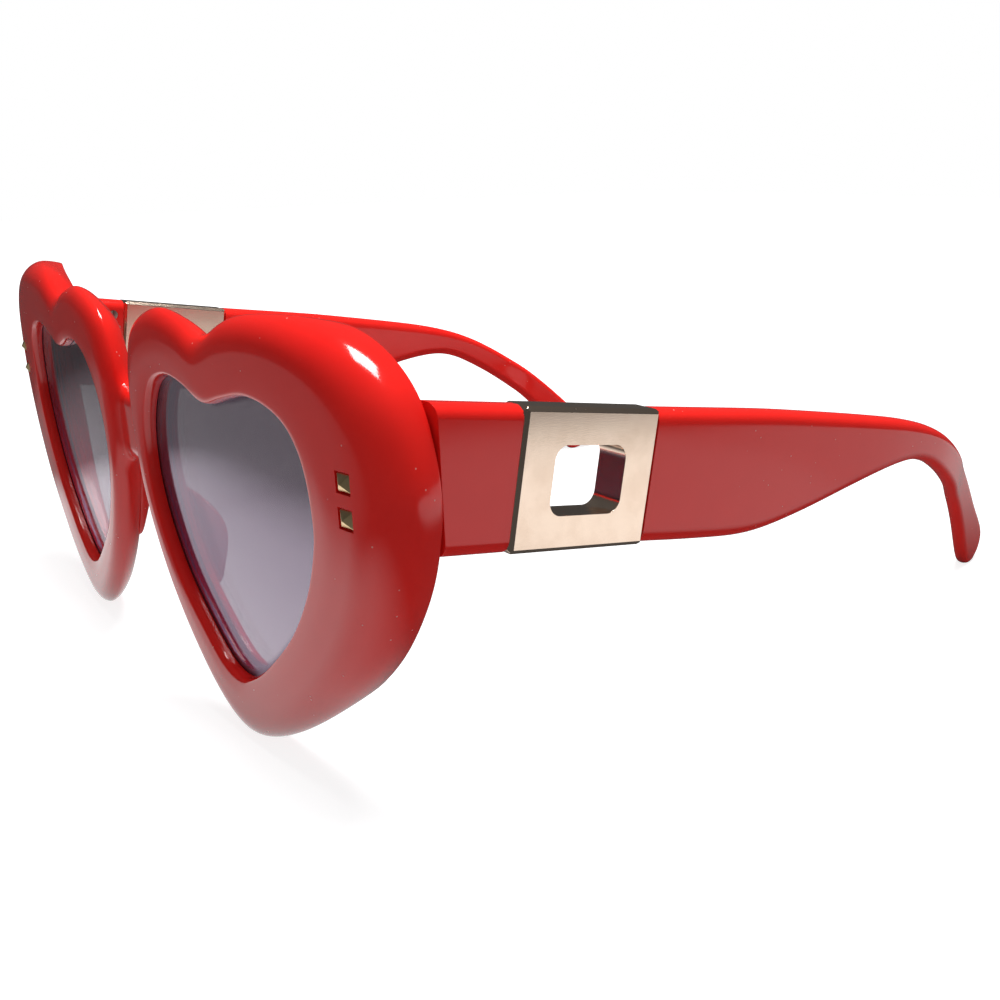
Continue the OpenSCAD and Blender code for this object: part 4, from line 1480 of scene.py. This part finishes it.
@dataclass
class Studio:
    """The camera, the white sweep, the lamp and the world round the object. Sizes are in metres."""

    eye: Colour = (0.17056, -0.13056, 0.08094)
    aim: Colour = (0.01995, -0.01657, 0.02137)
    up: Colour = (0.0, 0.02443, 0.99970)
    roll: float = 0.09
    focal: float = 39.8
    sensor: float = 36.0
    nearest: float = 0.005
    farthest: float = 20.0
    ambient: float = 0.22
    wall_low: float = 0.05
    wall_high: float = 0.08
    wall_from: float = 0.05
    wall_to: float = 0.9
    floor_half: float = 1.5
    lamp_place: Colour = (0.05, 0.05, 0.75)
    lamp_aim: Colour = (0.0, 0.0, 0.03)
    lamp_size: float = 0.34
    lamp_power: float = 8.0

    def build(self) -> None:
        """Builds the studio."""
        self.camera()
        self.world()
        self.lamp()
        self.sweep()
        bpy.context.scene.view_settings.view_transform = "Standard"

    def camera(self) -> None:
        """Adds the camera at the photograph's viewing angle."""
        data = bpy.data.cameras.new("camera")
        data.sensor_width = self.sensor
        data.lens = self.focal
        data.clip_start, data.clip_end = self.nearest, self.farthest
        camera = bpy.data.objects.new("camera", data)
        ahead = (Vector(self.aim) - Vector(self.eye)).normalized()
        right = ahead.cross(Vector(self.up)).normalized()
        above = right.cross(ahead)
        a = math.radians(self.roll)
        right, above = (
            math.cos(a) * right + math.sin(a) * above,
            -math.sin(a) * right + math.cos(a) * above,
        )
        turn = Matrix((right, above, -ahead)).transposed().to_4x4()
        camera.matrix_world = Matrix.Translation(self.eye) @ turn
        bpy.context.scene.collection.objects.link(camera)
        bpy.context.scene.camera = camera

    def world(self) -> None:
        """Fills the world with soft light, white where the camera or a clear piece sees it."""
        world = bpy.data.worlds.new("studio")
        world.use_nodes = True
        bpy.context.scene.world = world
        graph = Graph(world.node_tree)
        path = graph.node("ShaderNodeLightPath")
        seen, glossy = graph.seen(path), Value(graph, path.outputs["Is Glossy Ray"])
        height = graph.split(graph.node("ShaderNodeTexCoord").outputs["Generated"])[2]
        wall = self.wall_low + height.step(self.wall_from, self.wall_to) * (self.wall_high - self.wall_low)
        unseen = self.ambient * (1 - glossy) + wall * glossy
        strength = unseen * (1 - seen) + seen
        sky = graph.node("ShaderNodeBackground", {}, {"Color": WHITE, "Strength": strength})
        graph.node("ShaderNodeOutputWorld", {}, {"Surface": sky.outputs[0]})

    def lamp(self) -> None:
        """Adds the soft square lamp overhead."""
        data = bpy.data.lights.new("overhead_softbox", "AREA")
        data.shape = "RECTANGLE"
        data.size = data.size_y = self.lamp_size
        data.energy = self.lamp_power
        lamp = bpy.data.objects.new("overhead_softbox", data)
        lamp.location = self.lamp_place
        down = Vector(self.lamp_aim) - Vector(self.lamp_place)
        lamp.rotation_euler = down.to_track_quat("-Z", "Y").to_euler()
        bpy.context.scene.collection.objects.link(lamp)

    def sweep(self) -> None:
        """Adds the white floor."""
        half = self.floor_half / MM
        corners = np.array([(-half, -half, 0), (half, -half, 0), (half, half, 0), (-half, half, 0)], float)
        floor = Shape("white_sweep", corners, [[0, 1, 2, 3]])
        floor.object.data.materials.append(PaperFinish().material())


def main() -> None:
    """Builds the studio and every sub-assembly in order."""
    logging.basicConfig(level=logging.INFO, format="%(message)s")
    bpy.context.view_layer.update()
    Studio().build()
    finishes = Finishes()
    hearts = HeartFront()
    LOG.info("front stands at %s, temples slope %.3f degrees", np.round(hearts.shift, 3), hearts.slope)
    FrontFrame(hearts).build(finishes)
    for side in Side:
        Lens(hearts, side).build(finishes)
    NosePads(hearts).build(finishes)
    for side in Side:
        Temple(hearts, side).build(finishes)
    Fittings().build(finishes)


if __name__ == "__main__":
    main()
